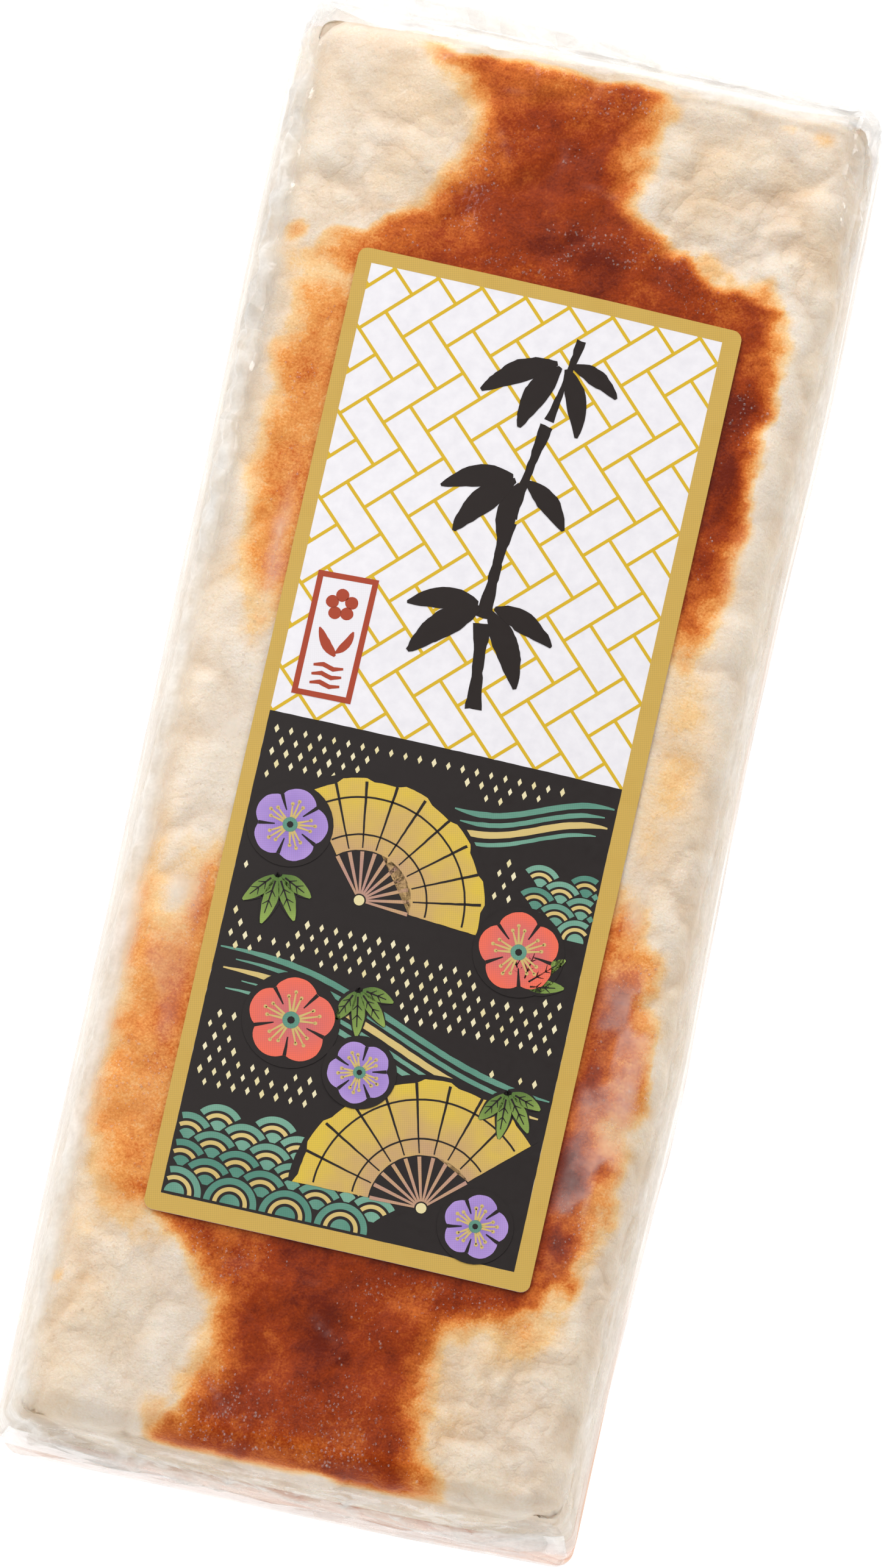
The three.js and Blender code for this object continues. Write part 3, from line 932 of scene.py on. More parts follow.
def makeFilm(material):
    grid, inBody, endLines = filmRings()
    s, x, y = roundDistance(grid), grid[:, :, 0], grid[:, :, 1]
    clear = clearOfLabel(x, y)
    atEnds = smooth((np.abs(y) - np.where(y < 0, 74.8, 74)) / 1.1)
    atSides = smooth((np.abs(s) - np.where(s < 0, 26.8, 28.5)) / 3)
    folded = np.where(s < 0, 0.25 + 0.75 * smooth((y - 5) / 25), 0.12 + 0.88 * smooth((y - 56) / 8))
    shoulder = smooth((np.abs(s) - 26.5) / 1.5) * smooth((36 - np.abs(s)) / 4)
    relief = foldRelief(s, y, tensionFolds()) * (0.15 + 0.85 * clear)
    slack = filmSlack(s, y, clear, folded, shoulder)
    offset = (relief + slack) * inBody[:, None] * (grid[:, :, 2] > 0.3)
    veil = filmVeil(grid, s, clear, atEnds, atSides, relief, endLines)
    flatter = np.maximum(0.1 * atSides, 0.04 + 0.08 * smooth((np.abs(y) - 66) / 6))
    crumple = np.maximum(np.maximum(atEnds, folded * shoulder), flatter)
    grid = grid + surfaceNormals(grid) * offset[:, :, None]
    grid = roundedInPlan(swollen(grid), 1.2)
    grid[:, :, 2] = np.maximum(grid[:, :, 2], 0.03)
    points, faces = closedTube(leaning(grid))
    piece = makePiece("filmWrap", points, faces, material, "film")
    addValue(piece, "veil", np.append(veil, [0.3, 0.3]))
    addValue(piece, "crumple", np.append(crumple, [1, 1]))
    nearRim = smooth((-71.0 - y) / 1.5) * smooth((grid[:, :, 2] - 14) / 4)
    beside = smooth((np.abs(s) - 22) / 2.5) * smooth((36 - np.abs(s)) / 4)
    dull = np.maximum(0.9 * beside * (1 - atEnds), nearRim)
    addValue(piece, "shoulder", np.append(dull, [0, 0]))
    return piece


flaps = {
    # corners (across, up) of the film folded over an end, seen from outside it: lower left, lower right,
    # upper right and upper left, then how far it stands out and how milky it is
    "left": [(-30.3, 7.4), (-9.5, 8.9), (-14.5, 12.0), (-29.3, 21.2), 0.3, 0.1],
    "right": [(11.0, 7.6), (30.3, 7.0), (29.4, 20.6), (16.5, 10.6), 0.3, 0.1],
    "lower": [(-29.6, 0.35), (29.8, 0.35), (20.5, 8.2), (-19.0, 10.4), 0.45, 0.05],
    "steps": (110, 44),
    "thickness": 0.05,
}


def makeFlaps(material):
    columns, rows = flaps["steps"]
    count = rows * columns
    u, v = np.meshgrid(np.linspace(0, 1, columns), np.linspace(0, 1, rows))
    weights = ((1 - u) * (1 - v), u * (1 - v), u * v, (1 - u) * v)
    edge = np.minimum(np.minimum(u, 1 - u) * 24, np.minimum(v, 1 - v) * 9)
    quads = gridFaces(rows, columns)
    rim = list(range(columns)) + [(r + 1) * columns - 1 for r in range(1, rows)]
    rim += [count - 1 - k for k in range(1, columns)] + [r * columns for r in range(rows - 2, 0, -1)]
    flapFaces = quads + [[k + count for k in quad[::-1]] for quad in quads]
    flapFaces += [[p, q, q + count, p + count] for p, q in zip(rim, rim[1:] + rim[:1])]
    points, faces, veil, start = [], [], [], 0
    for end in (-1, 1):
        for order, name in enumerate(("left", "right", "lower")):
            corners, (standOff, milkiness) = flaps[name][:4], flaps[name][4:]
            seed = 150 + 10 * order + 5 * end
            a, z = (sum(w * c[k] for w, c in zip(weights, corners)) for k in (0, 1))
            a = a + 0.5 * cloud(z / 3, a / 9, seed, 2) * smooth(edge)
            z = z + (0.9 * cloud(a / 7, z / 5, seed + 1, 3)) * smooth(v * 2)
            lift = standOff + 0.8 * facets(a, z * 0.24, 9, seed + 2)
            lift = lift + 0.12 * facets(a, z * 0.24, 4, seed + 3) - 0.3
            lift = lift * (0.12 + 0.88 * smooth((z - 1) / 10))
            hug = smooth((30.6 - np.abs(a)) / 2.5)
            lift = lift * (0.25 + 0.75 * hug) * (0.5 + 0.5 * smooth(z / 1.5))
            y = boardHigh[1] + film["grow"] + 0.05 + lift
            sheet = np.stack([a * -end, y * end, z], -1)
            sheet[:, :, 1] += cake["endSkew"] * 0.5 * sheet[:, :, 0] / cake["width"]
            inner = sheet - np.array([0, end * flaps["thickness"], 0])
            points += [sheet.reshape(-1, 3), inner.reshape(-1, 3)]
            faces += [[k + start for k in face] for face in flapFaces]
            start += 2 * count
            whiter = milkiness + 0.3 * np.exp(-edge / 0.35) * smooth(v * 6)
            whiter = whiter + 0.1 * cloud(a / 4, z / 4, seed + 4, 3)
            veil += [whiter.ravel(), whiter.ravel() * 0]
    points = leaning(roundedInPlan(swollen(np.concatenate(points)), 2.2))
    piece = makePiece("foldedFlaps", points, faces, material)
    addValue(piece, "veil", np.clip(np.concatenate(veil), 0, 0.8))
    addValue(piece, "crumple", np.full(start, 0.35))
    return piece


def crumpledFacets(tree, size, seed, wander=0.45):
    # flat facets between straight creases, with the creases as thin lines, which the film paints white as
    # highlights
    draw = random.Random(seed)
    bend = times(tree, noise(tree, 0.55 / (size * mm), 2, 0.5), wander * 2)
    height, line = None, None
    for _ in range(3):
        way = Vector([draw.uniform(-1, 1) for _ in range(3)]).normalized()
        way = way / (size * mm * draw.uniform(0.7, 1.6))
        way = way * Vector((1, 0.6, 0.05))  # longer up the walls and along the bar
        along = add(tree, "VectorMath", {0: place(tree), 1: way[:]}, operation="DOT_PRODUCT").outputs["Value"]
        phase = calc(tree, "FRACT", plus(tree, plus(tree, along, bend), draw.uniform(5, 9)))
        tent = calc(tree, "ABSOLUTE", minus(tree, phase, 0.5))
        crease = minus(tree, 1.0, times(tree, tent, size * 5.0), clamp=True)
        height = plus(tree, height, tent) if height else tent
        line = calc(tree, "MAXIMUM", line, crease) if line else crease
    return height, line


def clearFilm():
    material, tree = newMaterial("clearFilm")
    crumple = value(tree, "crumple")
    large, largeCreaseHighlights = crumpledFacets(tree, 7.5, 7, 0.3)
    small, smallCreaseHighlights = crumpledFacets(tree, 3.2, 9, 0.3)
    height = plus(tree, large, times(tree, small, 0.3))
    normal = bump(tree, times(tree, height, crumple), 1.0, 1.5)
    normal = bump(tree, noise(tree, 420, 3, 0.5, distortion=0.6), 0.12, 0.3, normal)
    normal = bump(tree, noise(tree, 1700, 2, 0.5), 0.3, 0.06, normal)
    gloss = add(tree, "BsdfGlossy", {"Color": (1, 1, 1), "Roughness": 0.08, "Normal": normal})
    clear = add(tree, "BsdfTransparent", {"Color": (1, 1, 1)})
    share = calc(tree, "MULTIPLY_ADD", crumple, 0.09, third=mirrorShare(tree, 0.018, normal, 0.5))
    glints = spread(tree, noise(tree, 430, 2, 0.5, distortion=0.6), 0.52, 0.58)
    dulled = minus(tree, 1.0, times(tree, glints, crumple))
    dulled = times(tree, value(tree, "shoulder"), dulled)
    share = times(tree, share, minus(tree, 1.0, dulled))
    shiny = add(tree, "MixShader", {0: share, 1: clear, 2: gloss})
    shaded = spread(tree, height, 0.5, 1.1, 0.0, 1.0)
    tint = mixColour(tree, times(tree, shaded, crumple), seen(251, 250, 247), seen(238, 238, 237))
    milky = surface(tree, Base_Color=tint, Roughness=0.35, Normal=normal)
    through = add(tree, "BsdfTranslucent", {"Color": tint, "Normal": normal})
    milky = add(tree, "MixShader", {0: 0.45, 1: milky, 2: through})
    uneven = spread(tree, noise(tree, 260, 4, 0.6), 0.3, 0.75, 0.4, 1.4)
    broken = spread(tree, noise(tree, 340, 2, 0.5), 0.5, 0.62)
    # painted highlights: thin white lines along the creases where the film is crumpled
    lines = plus(tree, largeCreaseHighlights, times(tree, smallCreaseHighlights, 0.4))
    lines = times(tree, times(tree, lines, broken), times(tree, crumple, 0.22))
    haze = calc(tree, "MULTIPLY_ADD", value(tree, "veil"), uneven, third=lines, clamp=True)
    showSurface(tree, add(tree, "MixShader", {0: haze, 1: shiny, 2: milky}))
    return material


# The label and its print
# a runs across the label and b along it, from its middle.

labelCells = (round(label["width"] / label["cell"]), round(label["length"] / label["cell"]))
labelA = np.linspace(-label["width"] / 2, label["width"] / 2, labelCells[0] + 1)
labelB = np.linspace(-label["length"] / 2, label["length"] / 2, labelCells[1] + 1)


def labelToBar(a, b):
    c, s = math.cos(label["turn"]), math.sin(label["turn"])
    return a * c - b * s + label["centre"][0], a * s + b * c + label["centre"][1]


nodeX, nodeY = labelToBar(*np.meshgrid(labelA, labelB))
paperHeights = heightAt(labelHeights, nodeX, nodeY) + film["grow"] + label["lift"] + label["thickness"]


def paperHeight(a, b):
    u = np.clip((a - labelA[0]) / (labelA[1] - labelA[0]), 0, labelCells[0] - 1e-4)
    v = np.clip((b - labelB[0]) / (labelB[1] - labelB[0]), 0, labelCells[1] - 1e-4)
    return blended(paperHeights, u, v)


def drapedShape(outline):
    # an outline in label places, cut along the paper's own cells so that it lies flat on it
    bm = bmesh.new()
    bm.faces.new([bm.verts.new((a, b, 0)) for a, b in outline])
    bmesh.ops.triangulate(bm, faces=bm.faces[:])
    lowA, highA = min(p[0] for p in outline), max(p[0] for p in outline)
    lowB, highB = min(p[1] for p in outline), max(p[1] for p in outline)
    cuts = [((a, 0, 0), (1, 0, 0)) for a in labelA if lowA < a < highA]
    cuts += [((0, b, 0), (0, 1, 0)) for b in labelB if lowB < b < highB]
    for point, normal in cuts:
        bmesh.ops.bisect_plane(bm, geom=bm.verts[:] + bm.edges[:] + bm.faces[:], dist=1e-5,
                               plane_co=point, plane_no=normal)
    bm.verts.index_update()
    flat = np.array([v.co[:2] for v in bm.verts])
    faces = [[v.index for v in face.verts] for face in bm.faces]
    bm.free()
    return flat, faces


def thickened(flat, faces, height, thickness):
    # the same shape at two heights, joined round its rim
    a, b = flat[:, 0], flat[:, 1]
    x, y = labelToBar(a, b)
    z = paperHeight(a, b)
    count = len(flat)
    points = np.concatenate([np.stack([x, y, z + height], -1), np.stack([x, y, z + height - thickness], -1)])
    edges = {}
    for face in faces:
        for k, v in enumerate(face):
            w = face[(k + 1) % len(face)]
            edges[(v, w)] = True
    rim = [(v, w) for v, w in edges if (w, v) not in edges]
    solid = faces + [[v + count for v in face[::-1]] for face in faces]
    solid += [[w, v, v + count, w + count] for v, w in rim]
    return points, solid


printed = {}  # ink: list of (outline, layer, tone), where tone is a number or (centre, reach)
layerStep = 0.012


def ink(name, outline, layer, tone=0.0):
    printed.setdefault(name, []).append((outline, layer, tone))


def between(start, end, t):
    return start[0] + (end[0] - start[0]) * t, start[1] + (end[1] - start[1]) * t


def away(centre, distance, angle):
    return centre[0] + distance * math.cos(angle), centre[1] + distance * math.sin(angle)


def roughened(outline, amount=0.07, step=0.4, seed=3):
    # the uneven edge of a cut block: more points, moved a little
    points = []
    for p, q in zip(outline, outline[1:] + outline[:1]):
        count = max(1, int(math.dist(p, q) / step))
        points += [between(p, q, n / count) for n in range(count)]
    a, b = np.array(points).T
    da = amount * cloud(a * 1.7, b * 1.7, seed, 2)
    db = amount * cloud(a * 1.7, b * 1.7, seed + 9, 2)
    return list(zip((a + da).tolist(), (b + db).tolist()))


def turned(points, centre, degrees, size=1.0):
    c, s = math.cos(math.radians(degrees)) * size, math.sin(math.radians(degrees)) * size
    return [(centre[0] + a * c - b * s, centre[1] + a * s + b * c) for a, b in points]


def strip(line, widths):
    # a stroke along a line of places, as wide at each as widths says
    left, right = [], []
    for k, (a, b) in enumerate(line):
        a0, b0 = line[max(k - 1, 0)]
        a1, b1 = line[min(k + 1, len(line) - 1)]
        length = math.hypot(a1 - a0, b1 - b0) or 1
        na, nb = -(b1 - b0) / length * widths[k] / 2, (a1 - a0) / length * widths[k] / 2
        left.append((a + na, b + nb))
        right.append((a - na, b - nb))
    return left + right[::-1]


def stroke(start, end, width, sag=0.0, count=9, tip=0.12):
    # a brush stroke that swells and tapers, bent sideways by sag
    line, widths = [], []
    length = math.hypot(end[0] - start[0], end[1] - start[1])
    na, nb = -(end[1] - start[1]) / length, (end[0] - start[0]) / length
    for k in range(count):
        t = k / (count - 1)
        side = sag * math.sin(t * math.pi)
        a, b = between(start, end, t)
        line.append((a + na * side, b + nb * side))
        swelling = math.sin(min(1, t * 1.5 + 0.08) * math.pi * 0.5) * (1 - t) ** 0.55 * 1.25
        widths.append(width * max(tip, swelling))
    return strip(line, widths)


def circle(centre, radius, count=40):
    return [away(centre, radius, 2 * math.pi * k / count) for k in range(count)]


panel = {
    "left": -18.7, "right": 18.3, "top": 50.3, "bottom": -49.9,  # inside the gold border
    "division": 1.95,  # between the white field and the black one
    "brick": 3.25,
    "latticeWidth": 0.35,
    "latticeTurn": -45,
    "latticePhase": (13.7, 43.3),
}


def clippedStrip(start, end, width):
    # part of a straight bar that lies in the white field
    box = [(panel["left"], panel["division"]), (panel["right"], panel["division"]),
           (panel["right"], panel["top"]), (panel["left"], panel["top"])]
    shape = strip([start, end], [width, width])
    for k in range(4):
        (a0, b0), (a1, b1) = box[k], box[(k + 1) % 4]
        kept = []
        for n, p in enumerate(shape):
            q = shape[(n + 1) % len(shape)]
            sideP = (a1 - a0) * (p[1] - b0) - (b1 - b0) * (p[0] - a0)
            sideQ = (a1 - a0) * (q[1] - b0) - (b1 - b0) * (q[0] - a0)
            if sideP >= 0:
                kept.append(p)
            if (sideP >= 0) != (sideQ >= 0):
                kept.append(between(p, q, sideP / (sideP - sideQ)))
        shape = kept
        if len(shape) < 3:
            return None
    return shape


def drawBorder():
    half, halfLength, corner = label["width"] / 2, label["length"] / 2, label["corner"]
    inner = [(panel["right"], panel["bottom"]), (panel["right"], panel["top"]),
             (panel["left"], panel["top"]), (panel["left"], panel["bottom"])]
    arcs = []
    for sa, sb, start in ((1, -1, -90), (1, 1, 0), (-1, 1, 90), (-1, -1, 180)):
        middle = (sa * (half - corner), sb * (halfLength - corner))
        arcs.append([away(middle, corner, math.radians(start + d)) for d in range(0, 91, 15)])
    for k in range(4):
        j = (k + 1) % 4
        ink("gold", arcs[k] + [inner[k]], 1)  # the corner
        ink("gold", [arcs[k][-1], arcs[j][0], inner[j], inner[k]], 1)  # the side between two corners
    ink("paper", [p for arc in arcs for p in arc], 0)


def drawLattice():
    w, half = panel["brick"], panel["latticeWidth"] / 2
    at = lambda i, j: turned([(i * w, j * w)], panel["latticePhase"], panel["latticeTurn"])[0]
    gap = half / w
    for i in range(-28, 20):
        for j in range(-28, 20):
            # each segment starts and ends on the side of another
            if (i - j) % 4 == 0:
                shape = clippedStrip(at(i, j + gap), at(i, j + 3 - gap), 2 * half)
                if shape:
                    ink("latticeGold", shape, 1)
            if (i - j) % 4 == 3:
                shape = clippedStrip(at(i + gap, j), at(i + 3 - gap, j), 2 * half)
                if shape:
                    ink("latticeGold", shape, 1)


def drawBambooSprig():
    # a brushed sprig of bamboo in black: one stem and three sprays of leaves
    stem = [((1.6, 6.6), (0.6, 15.6), 1.5), ((0.5, 16.2), (0.9, 26.6), 1.35), ((1.0, 27.2), (2.6, 37.4), 1.1),
            ((2.7, 38.0), (4.2, 47.0), 0.8)]
    for start, end, width in stem:
        shares = np.linspace(0, 1, 9)
        line = [between(start, end, t) for t in shares]
        widths = [width * (1.25 - 0.5 * math.sin(t * math.pi)) for t in shares]
        ink("black", roughened(strip(line, widths), 0.16, 0.4, 5), 2)
    sprays = [((3.0, 44.6), [(-148, 9.2, 2.9), (-112, 8.6, 3.0), (-70, 8.2, 2.6), (-25, 6.6, 2.2)]),
              ((1.2, 31.8), [(-160, 8.4, 2.8), (-128, 9.2, 3.2), (-92, 8.2, 2.6), (-42, 7.2, 2.6)]),
              ((0.6, 17.8), [(-168, 8.2, 2.8), (-136, 9.6, 3.4), (-60, 9.4, 3.2), (-22, 8.0, 2.8)])]
    for n, (root, leaves) in enumerate(sprays):
        for m, (degrees, length, width) in enumerate(leaves):
            t = math.radians(degrees)
            start, end = away(root, 0.9, t), away(root, length, t)
            sag = 0.5 if math.cos(t) > 0 else -0.5
            ink("black", roughened(stroke(start, end, width, sag, 13), 0.14, 0.35, 11 + 7 * n + m), 3 + m % 2)


def drawSeal():
    corners = [(-17.0, 4.2), (-10.8, 4.3), (-10.7, 17.7), (-17.0, 17.5)]
    width = 0.6
    middle = (sum(p[0] for p in corners) / 4, sum(p[1] for p in corners) / 4)
    inner = [(a + (width if a < middle[0] else -width), b + (width if b < middle[1] else -width))
             for a, b in corners]
    ink("paperWhite", corners, 2)
    for k in range(4):
        j = (k + 1) % 4
        ink("seal", [corners[k], corners[j], inner[j], inner[k]], 3)
    # a blossom, two leaves and three bars inside it
    for k in range(5):
        petal = circle(away((0, 0), 1.05, math.radians(90 + 72 * k)), 0.68, 16)
        ink("seal", roughened(turned(petal, (-13.9, 14.3), 6), 0.06, 0.3), 3)
    ink("seal", roughened(stroke((-13.4, 8.9), (-15.6, 11.6), 1.3, 0.25), 0.08, 0.3), 3)
    ink("seal", roughened(stroke((-13.5, 9.2), (-12.1, 11.8), 1.1, -0.25), 0.08, 0.3), 3)
    for k in range(3):
        b = 7.6 - 0.95 * k
        ink("seal", roughened(strip([(-15.4, b), (-14.4, b + 0.22), (-13.3, b - 0.1), (-12.3, b + 0.15)],
                                    [0.25, 0.5, 0.5, 0.25]), 0.05, 0.3), 3)


taken = []  # places of the motifs, as (a, b, radius), which the small diamonds keep clear of


def drawFan(pivot, radius, turn, opening, folds, layer):
    inner = radius * 0.42
    angles = [math.radians(turn - opening / 2 + opening * k / folds) for k in range(folds + 1)]
    polar = lambda r, t: away(pivot, r, t)
    fine = np.linspace(angles[0], angles[-1], folds * 4 + 1)
    rim = [polar(radius + (0.28 if k // 4 % 2 else -0.12), t) for k, t in enumerate(fine)]
    leaf = rim + [polar(inner, t) for t in fine[::-1]]
    shadow = [polar(radius + 0.75, t) for t in fine] + [pivot]
    ink("blackPanel", roughened(shadow, 0.08, 0.5), layer)
    ink("ochre", roughened(leaf, 0.06, 0.4), layer + 1, (pivot, radius * 1.05))
    for t in angles[1:-1]:
        crease = [polar(inner + 0.2, t), polar(radius * 0.75, t), polar(radius - 0.1, t)]
        ink("blackLine", roughened(strip(crease, [0.14, 0.22, 0.3]), 0.04, 0.4), layer + 2)
    for t in angles:
        ink("ochre", strip([polar(0.7, t), polar(inner - 0.15, t)], [0.22, 0.4]), layer + 1, 0.15)
    bands = np.linspace(angles[0] + 0.03, angles[-1] - 0.03, 40)
    for r, width in ((radius * 0.86, 0.2), (radius * 0.55, 0.18)):
        ink("blackLine", roughened(strip([polar(r, t) for t in bands], [width] * 40), 0.03, 0.5), layer + 2)
    ink("cream", circle(pivot, 0.55, 14), layer + 2)
    middle = math.radians(turn)
    taken.append((*polar(radius * 0.55, middle), radius * 0.72))
    taken.append((*polar(radius * 0.1, middle), radius * 0.3))
    for t in (angles[0], angles[-1]):
        taken.append((*polar(radius * 0.75, t), radius * 0.3))


def drawBlossom(centre, radius, turn, name, layer):
    ink("blackPanel", circle(centre, radius + 0.55, 36), layer)
    outline = []
    for k in range(75):
        t = 2 * math.pi * k / 75
        outline.append(away((0, 0), radius * (0.80 + 0.2 * abs(math.cos(2.5 * t)) ** 0.7), t))
    ink(name, roughened(turned(outline, centre, turn), 0.07, 0.4), layer + 1, (centre, radius))
    polar = lambda r, t: away(centre, r, t)
    for k in range(5):
        gap = math.radians(turn + 36 + 72 * k)
        line = strip([polar(radius * 0.4, gap), polar(radius * 0.84, gap)], [0.12, 0.4])
        ink("blackLine", roughened(line, 0.04, 0.4), layer + 2)
        for side in (-15, 0, 15):
            t = math.radians(turn + 72 * k + side)
            reach = radius * (0.56 if side else 0.66)
            ink("straw", strip([polar(radius * 0.2, t), polar(reach, t)], [0.26, 0.14]), layer + 2)
            ink("straw", circle(polar(reach, t), 0.2, 8), layer + 2)
    ink("teal", circle(centre, radius * 0.2, 14), layer + 2, 0.3)
    ink("blackLine", circle(centre, radius * 0.09, 8), layer + 3)
    taken.append((*centre, radius + 0.8))


def drawLeaves(root, turn, size, layer, spreadOut=(-52, -18, 18, 52)):
    for k, degrees in enumerate(spreadOut):
        t = math.radians(turn + degrees)
        length = size * (1.0, 1.22, 1.15, 0.92)[k % 4]
        end = away(root, length, t)
        ink("blackPanel", stroke(root, end, size * 0.56, 0.1), layer)
        blade = roughened(stroke(away(root, 0.5, t), end, size * 0.4, 0.1, 11), 0.05, 0.35, 21 + k)
        ink("green", blade, layer + 1, (root, size * 1.3))
        ink("blackLine", strip([away(root, 0.9, t), away(root, length * 0.8, t)], [0.2, 0.1]), layer + 2)
        for m in (0.35, 0.55):
            rib = away(root, length * m, t)
            for side in (-1, 1):
                vein = [rib, away(rib, size * 0.17, t + side * 0.75)]
                ink("blackLine", strip(vein, [0.14, 0.06]), layer + 2)
    taken.append((*away(root, size * 0.6, math.radians(turn)), size * 0.75))


def drawScallops(left, bottom, across, up, radius, layer):
    # rows of half-round waves; each shows as far as the two waves in front of it
    bands = [(0.95, 0.72, "teal"), (0.62, 0.47, "straw"), (0.36, 0.0, "teal")]
    for row in range(up):
        for column in range(across):
            ca = left + radius * (2 * column + row % 2)
            cb = bottom + radius * 0.5 * row
            for outer, inner, name in bands:
                outerArc, innerArc = [], []
                for t in np.linspace(0, math.pi, 61):
                    toNext = abs(math.cos(t)) - 0.5 * math.sin(t)
                    shown = toNext - math.sqrt(toNext * toNext - 0.25) - 0.04 if row and toNext > 0.5 else 9
                    reach = radius * min(outer, shown)
                    a, b = away((ca, cb), reach, t)
                    inPanel = (panel["left"] + 0.2 < a < panel["right"] - 0.2
                               and panel["bottom"] + 0.2 < b < panel["division"] - 0.3)
                    if inPanel and reach > radius * (inner + 0.05):
                        outerArc.append((a, b))
                        innerArc.append(away((ca, cb), radius * inner, t))
                if len(outerArc) > 4:
                    shape = outerArc + (innerArc[::-1] if inner else [(ca, cb)])
                    ink(name, shape, layer, 0.5 + 0.5 * math.sin(3.1 * ca + 1.7 * cb))
            taken.append((ca, cb + radius * 0.4, radius * 0.95))


def drawStream(start, end, sway, lines, layer, widths=(0.62, 0.5, 0.7, 0.42, 0.55)):
    # parallel flowing lines
    for k in range(lines):
        shift = -1.05 * k
        trim = (0.0, 0.1, 0.04, 0.16, 0.08)[k % 5]
        line = []
        for n in range(25):
            t = trim / 2 + (1 - trim) * n / 24
            a, b = between(start, end, t)
            line.append((a, b + sway * math.sin(t * math.pi * 1.6 + 0.4) + shift))
        taper = [widths[k % 5] * min(1, 0.25 + 5 * min(n / 24, 1 - n / 24)) for n in range(25)]
        name = "teal" if k % 3 != 2 else "straw"
        ink(name, roughened(strip(line, taper), 0.05, 0.5), layer, 0.3 + 0.12 * k)
        for a, b in line[::3]:
            taken.append((a, b, 0.9))


def drawDiamonds(layer):
    # rows of small diamonds over what is left of the black field
    for row in range(44):
        b = panel["bottom"] + 1.3 + 1.22 * row
        if b > panel["division"] - 1.0:
            break
        if row % 9 in (7, 8):
            continue
        for column in range(24):
            a = panel["left"] + 1.1 + 1.5 * column + (0.75 if row % 2 else 0)
            if a > panel["right"] - 0.9 or any(math.hypot(a - p, b - q) < r + 0.5 for p, q, r in taken):
                continue
            size = 0.42 + 0.12 * float(fixedRandom(row, column, 7))
            diamond = [(a + 0.52 * size, b), (a, b + size * 0.95), (a - 0.52 * size, b), (a, b - size * 0.95)]
            ink("cream", diamond, layer, float(fixedRandom(row, column, 9)))


def drawBlackField():
    left, right, top, bottom = (panel[k] for k in ("left", "right", "division", "bottom"))
    ink("blackPanel", roughened([(left, bottom), (right, bottom), (right, top), (left, top)], 0.05, 0.7), 1)
    drawStream((-18.3, -24.0), (18.0, -30.5), 1.6, 5, 2)
    drawStream((2.0, -3.6), (18.0, -1.0), -0.9, 4, 2)
    drawScallops(-17.4, -49.6, 4, 6, 2.9, 2)
    drawScallops(12.2, -14.8, 3, 5, 2.4, 2)
    drawFan((-5.5, -15.6), 12.6, 62, 132, 9, 3)
    drawFan((7.6, -45.6), 13.2, 112, 138, 9, 3)
    drawLeaves((-14.2, -14.6), -78, 4.6, 6)
    drawLeaves((12.6, -20.6), 62, 4.4, 6)
    drawLeaves((-3.6, -24.6), -62, 4.2, 6)
    drawLeaves((13.6, -31.6), -70, 4.2, 6)
    drawBlossom((-14.1, -9.4), 3.9, 8, "violet", 7)
    drawBlossom((11.6, -17.2), 4.2, 30, "coral", 7)
    drawBlossom((-9.6, -29.4), 4.5, 20, "coral", 7)
    drawBlossom((-1.6, -33.2), 3.3, 50, "violet", 10)
    drawBlossom((13.4, -46.2), 3.4, 12, "violet", 7)
    drawDiamonds(2)


def makeLabel(materials):
    drawBorder()
    drawLattice()
    drawBambooSprig()
    drawSeal()
    drawBlackField()
    for name, shapes in printed.items():
        points, faces, tones, start = [], [], [], 0
        for outline, layer, tone in shapes:
            flat, shapeFaces = drapedShape(outline)
            thickness = label["thickness"] if name == "paper" else layerStep * 1.5
            shapePoints, solid = thickened(flat, shapeFaces, layer * layerStep, thickness)
            points.append(shapePoints)
            faces += [[v + start for v in face] for face in solid]
            start += len(shapePoints)
            if isinstance(tone, tuple):
                (ca, cb), reach = tone
                tone = np.hypot(flat[:, 0] - ca, flat[:, 1] - cb) / reach
            tones.append(np.tile(np.broadcast_to(tone, len(flat)), 2))
        pieceName, node = ("paperLabel", "label") if name == "paper" else (name + "Print", None)
        piece = makePiece(pieceName, np.concatenate(points), faces, materials[name], node, 40)
        addValue(piece, "tone", np.concatenate(tones))


inkColours = {
    # each ink as two colours, which its tone runs between
    "gold": ((206, 170, 86), (196, 156, 66)),
    "latticeGold": ((214, 176, 40), (204, 164, 30)),
    "black": ((38, 30, 28), (30, 24, 22)),
    "blackPanel": ((40, 34, 33), (32, 27, 26)),
    "blackLine": ((38, 32, 31), (32, 27, 26)),
    "seal": ((168, 68, 44), (158, 60, 38)),
    "paperWhite": ((234, 231, 235), (228, 226, 230)),
    "ochre": ((186, 142, 132), (222, 190, 74)),
    "coral": ((196, 110, 118), (242, 112, 88)),
    "violet": ((140, 112, 190), (178, 148, 214)),
    "green": ((78, 110, 52), (146, 170, 84)),
    "teal": ((84, 138, 120), (124, 172, 150)),
    "straw": ((206, 180, 112), (216, 192, 126)),
    "cream": ((226, 212, 160), (236, 226, 190)),
}


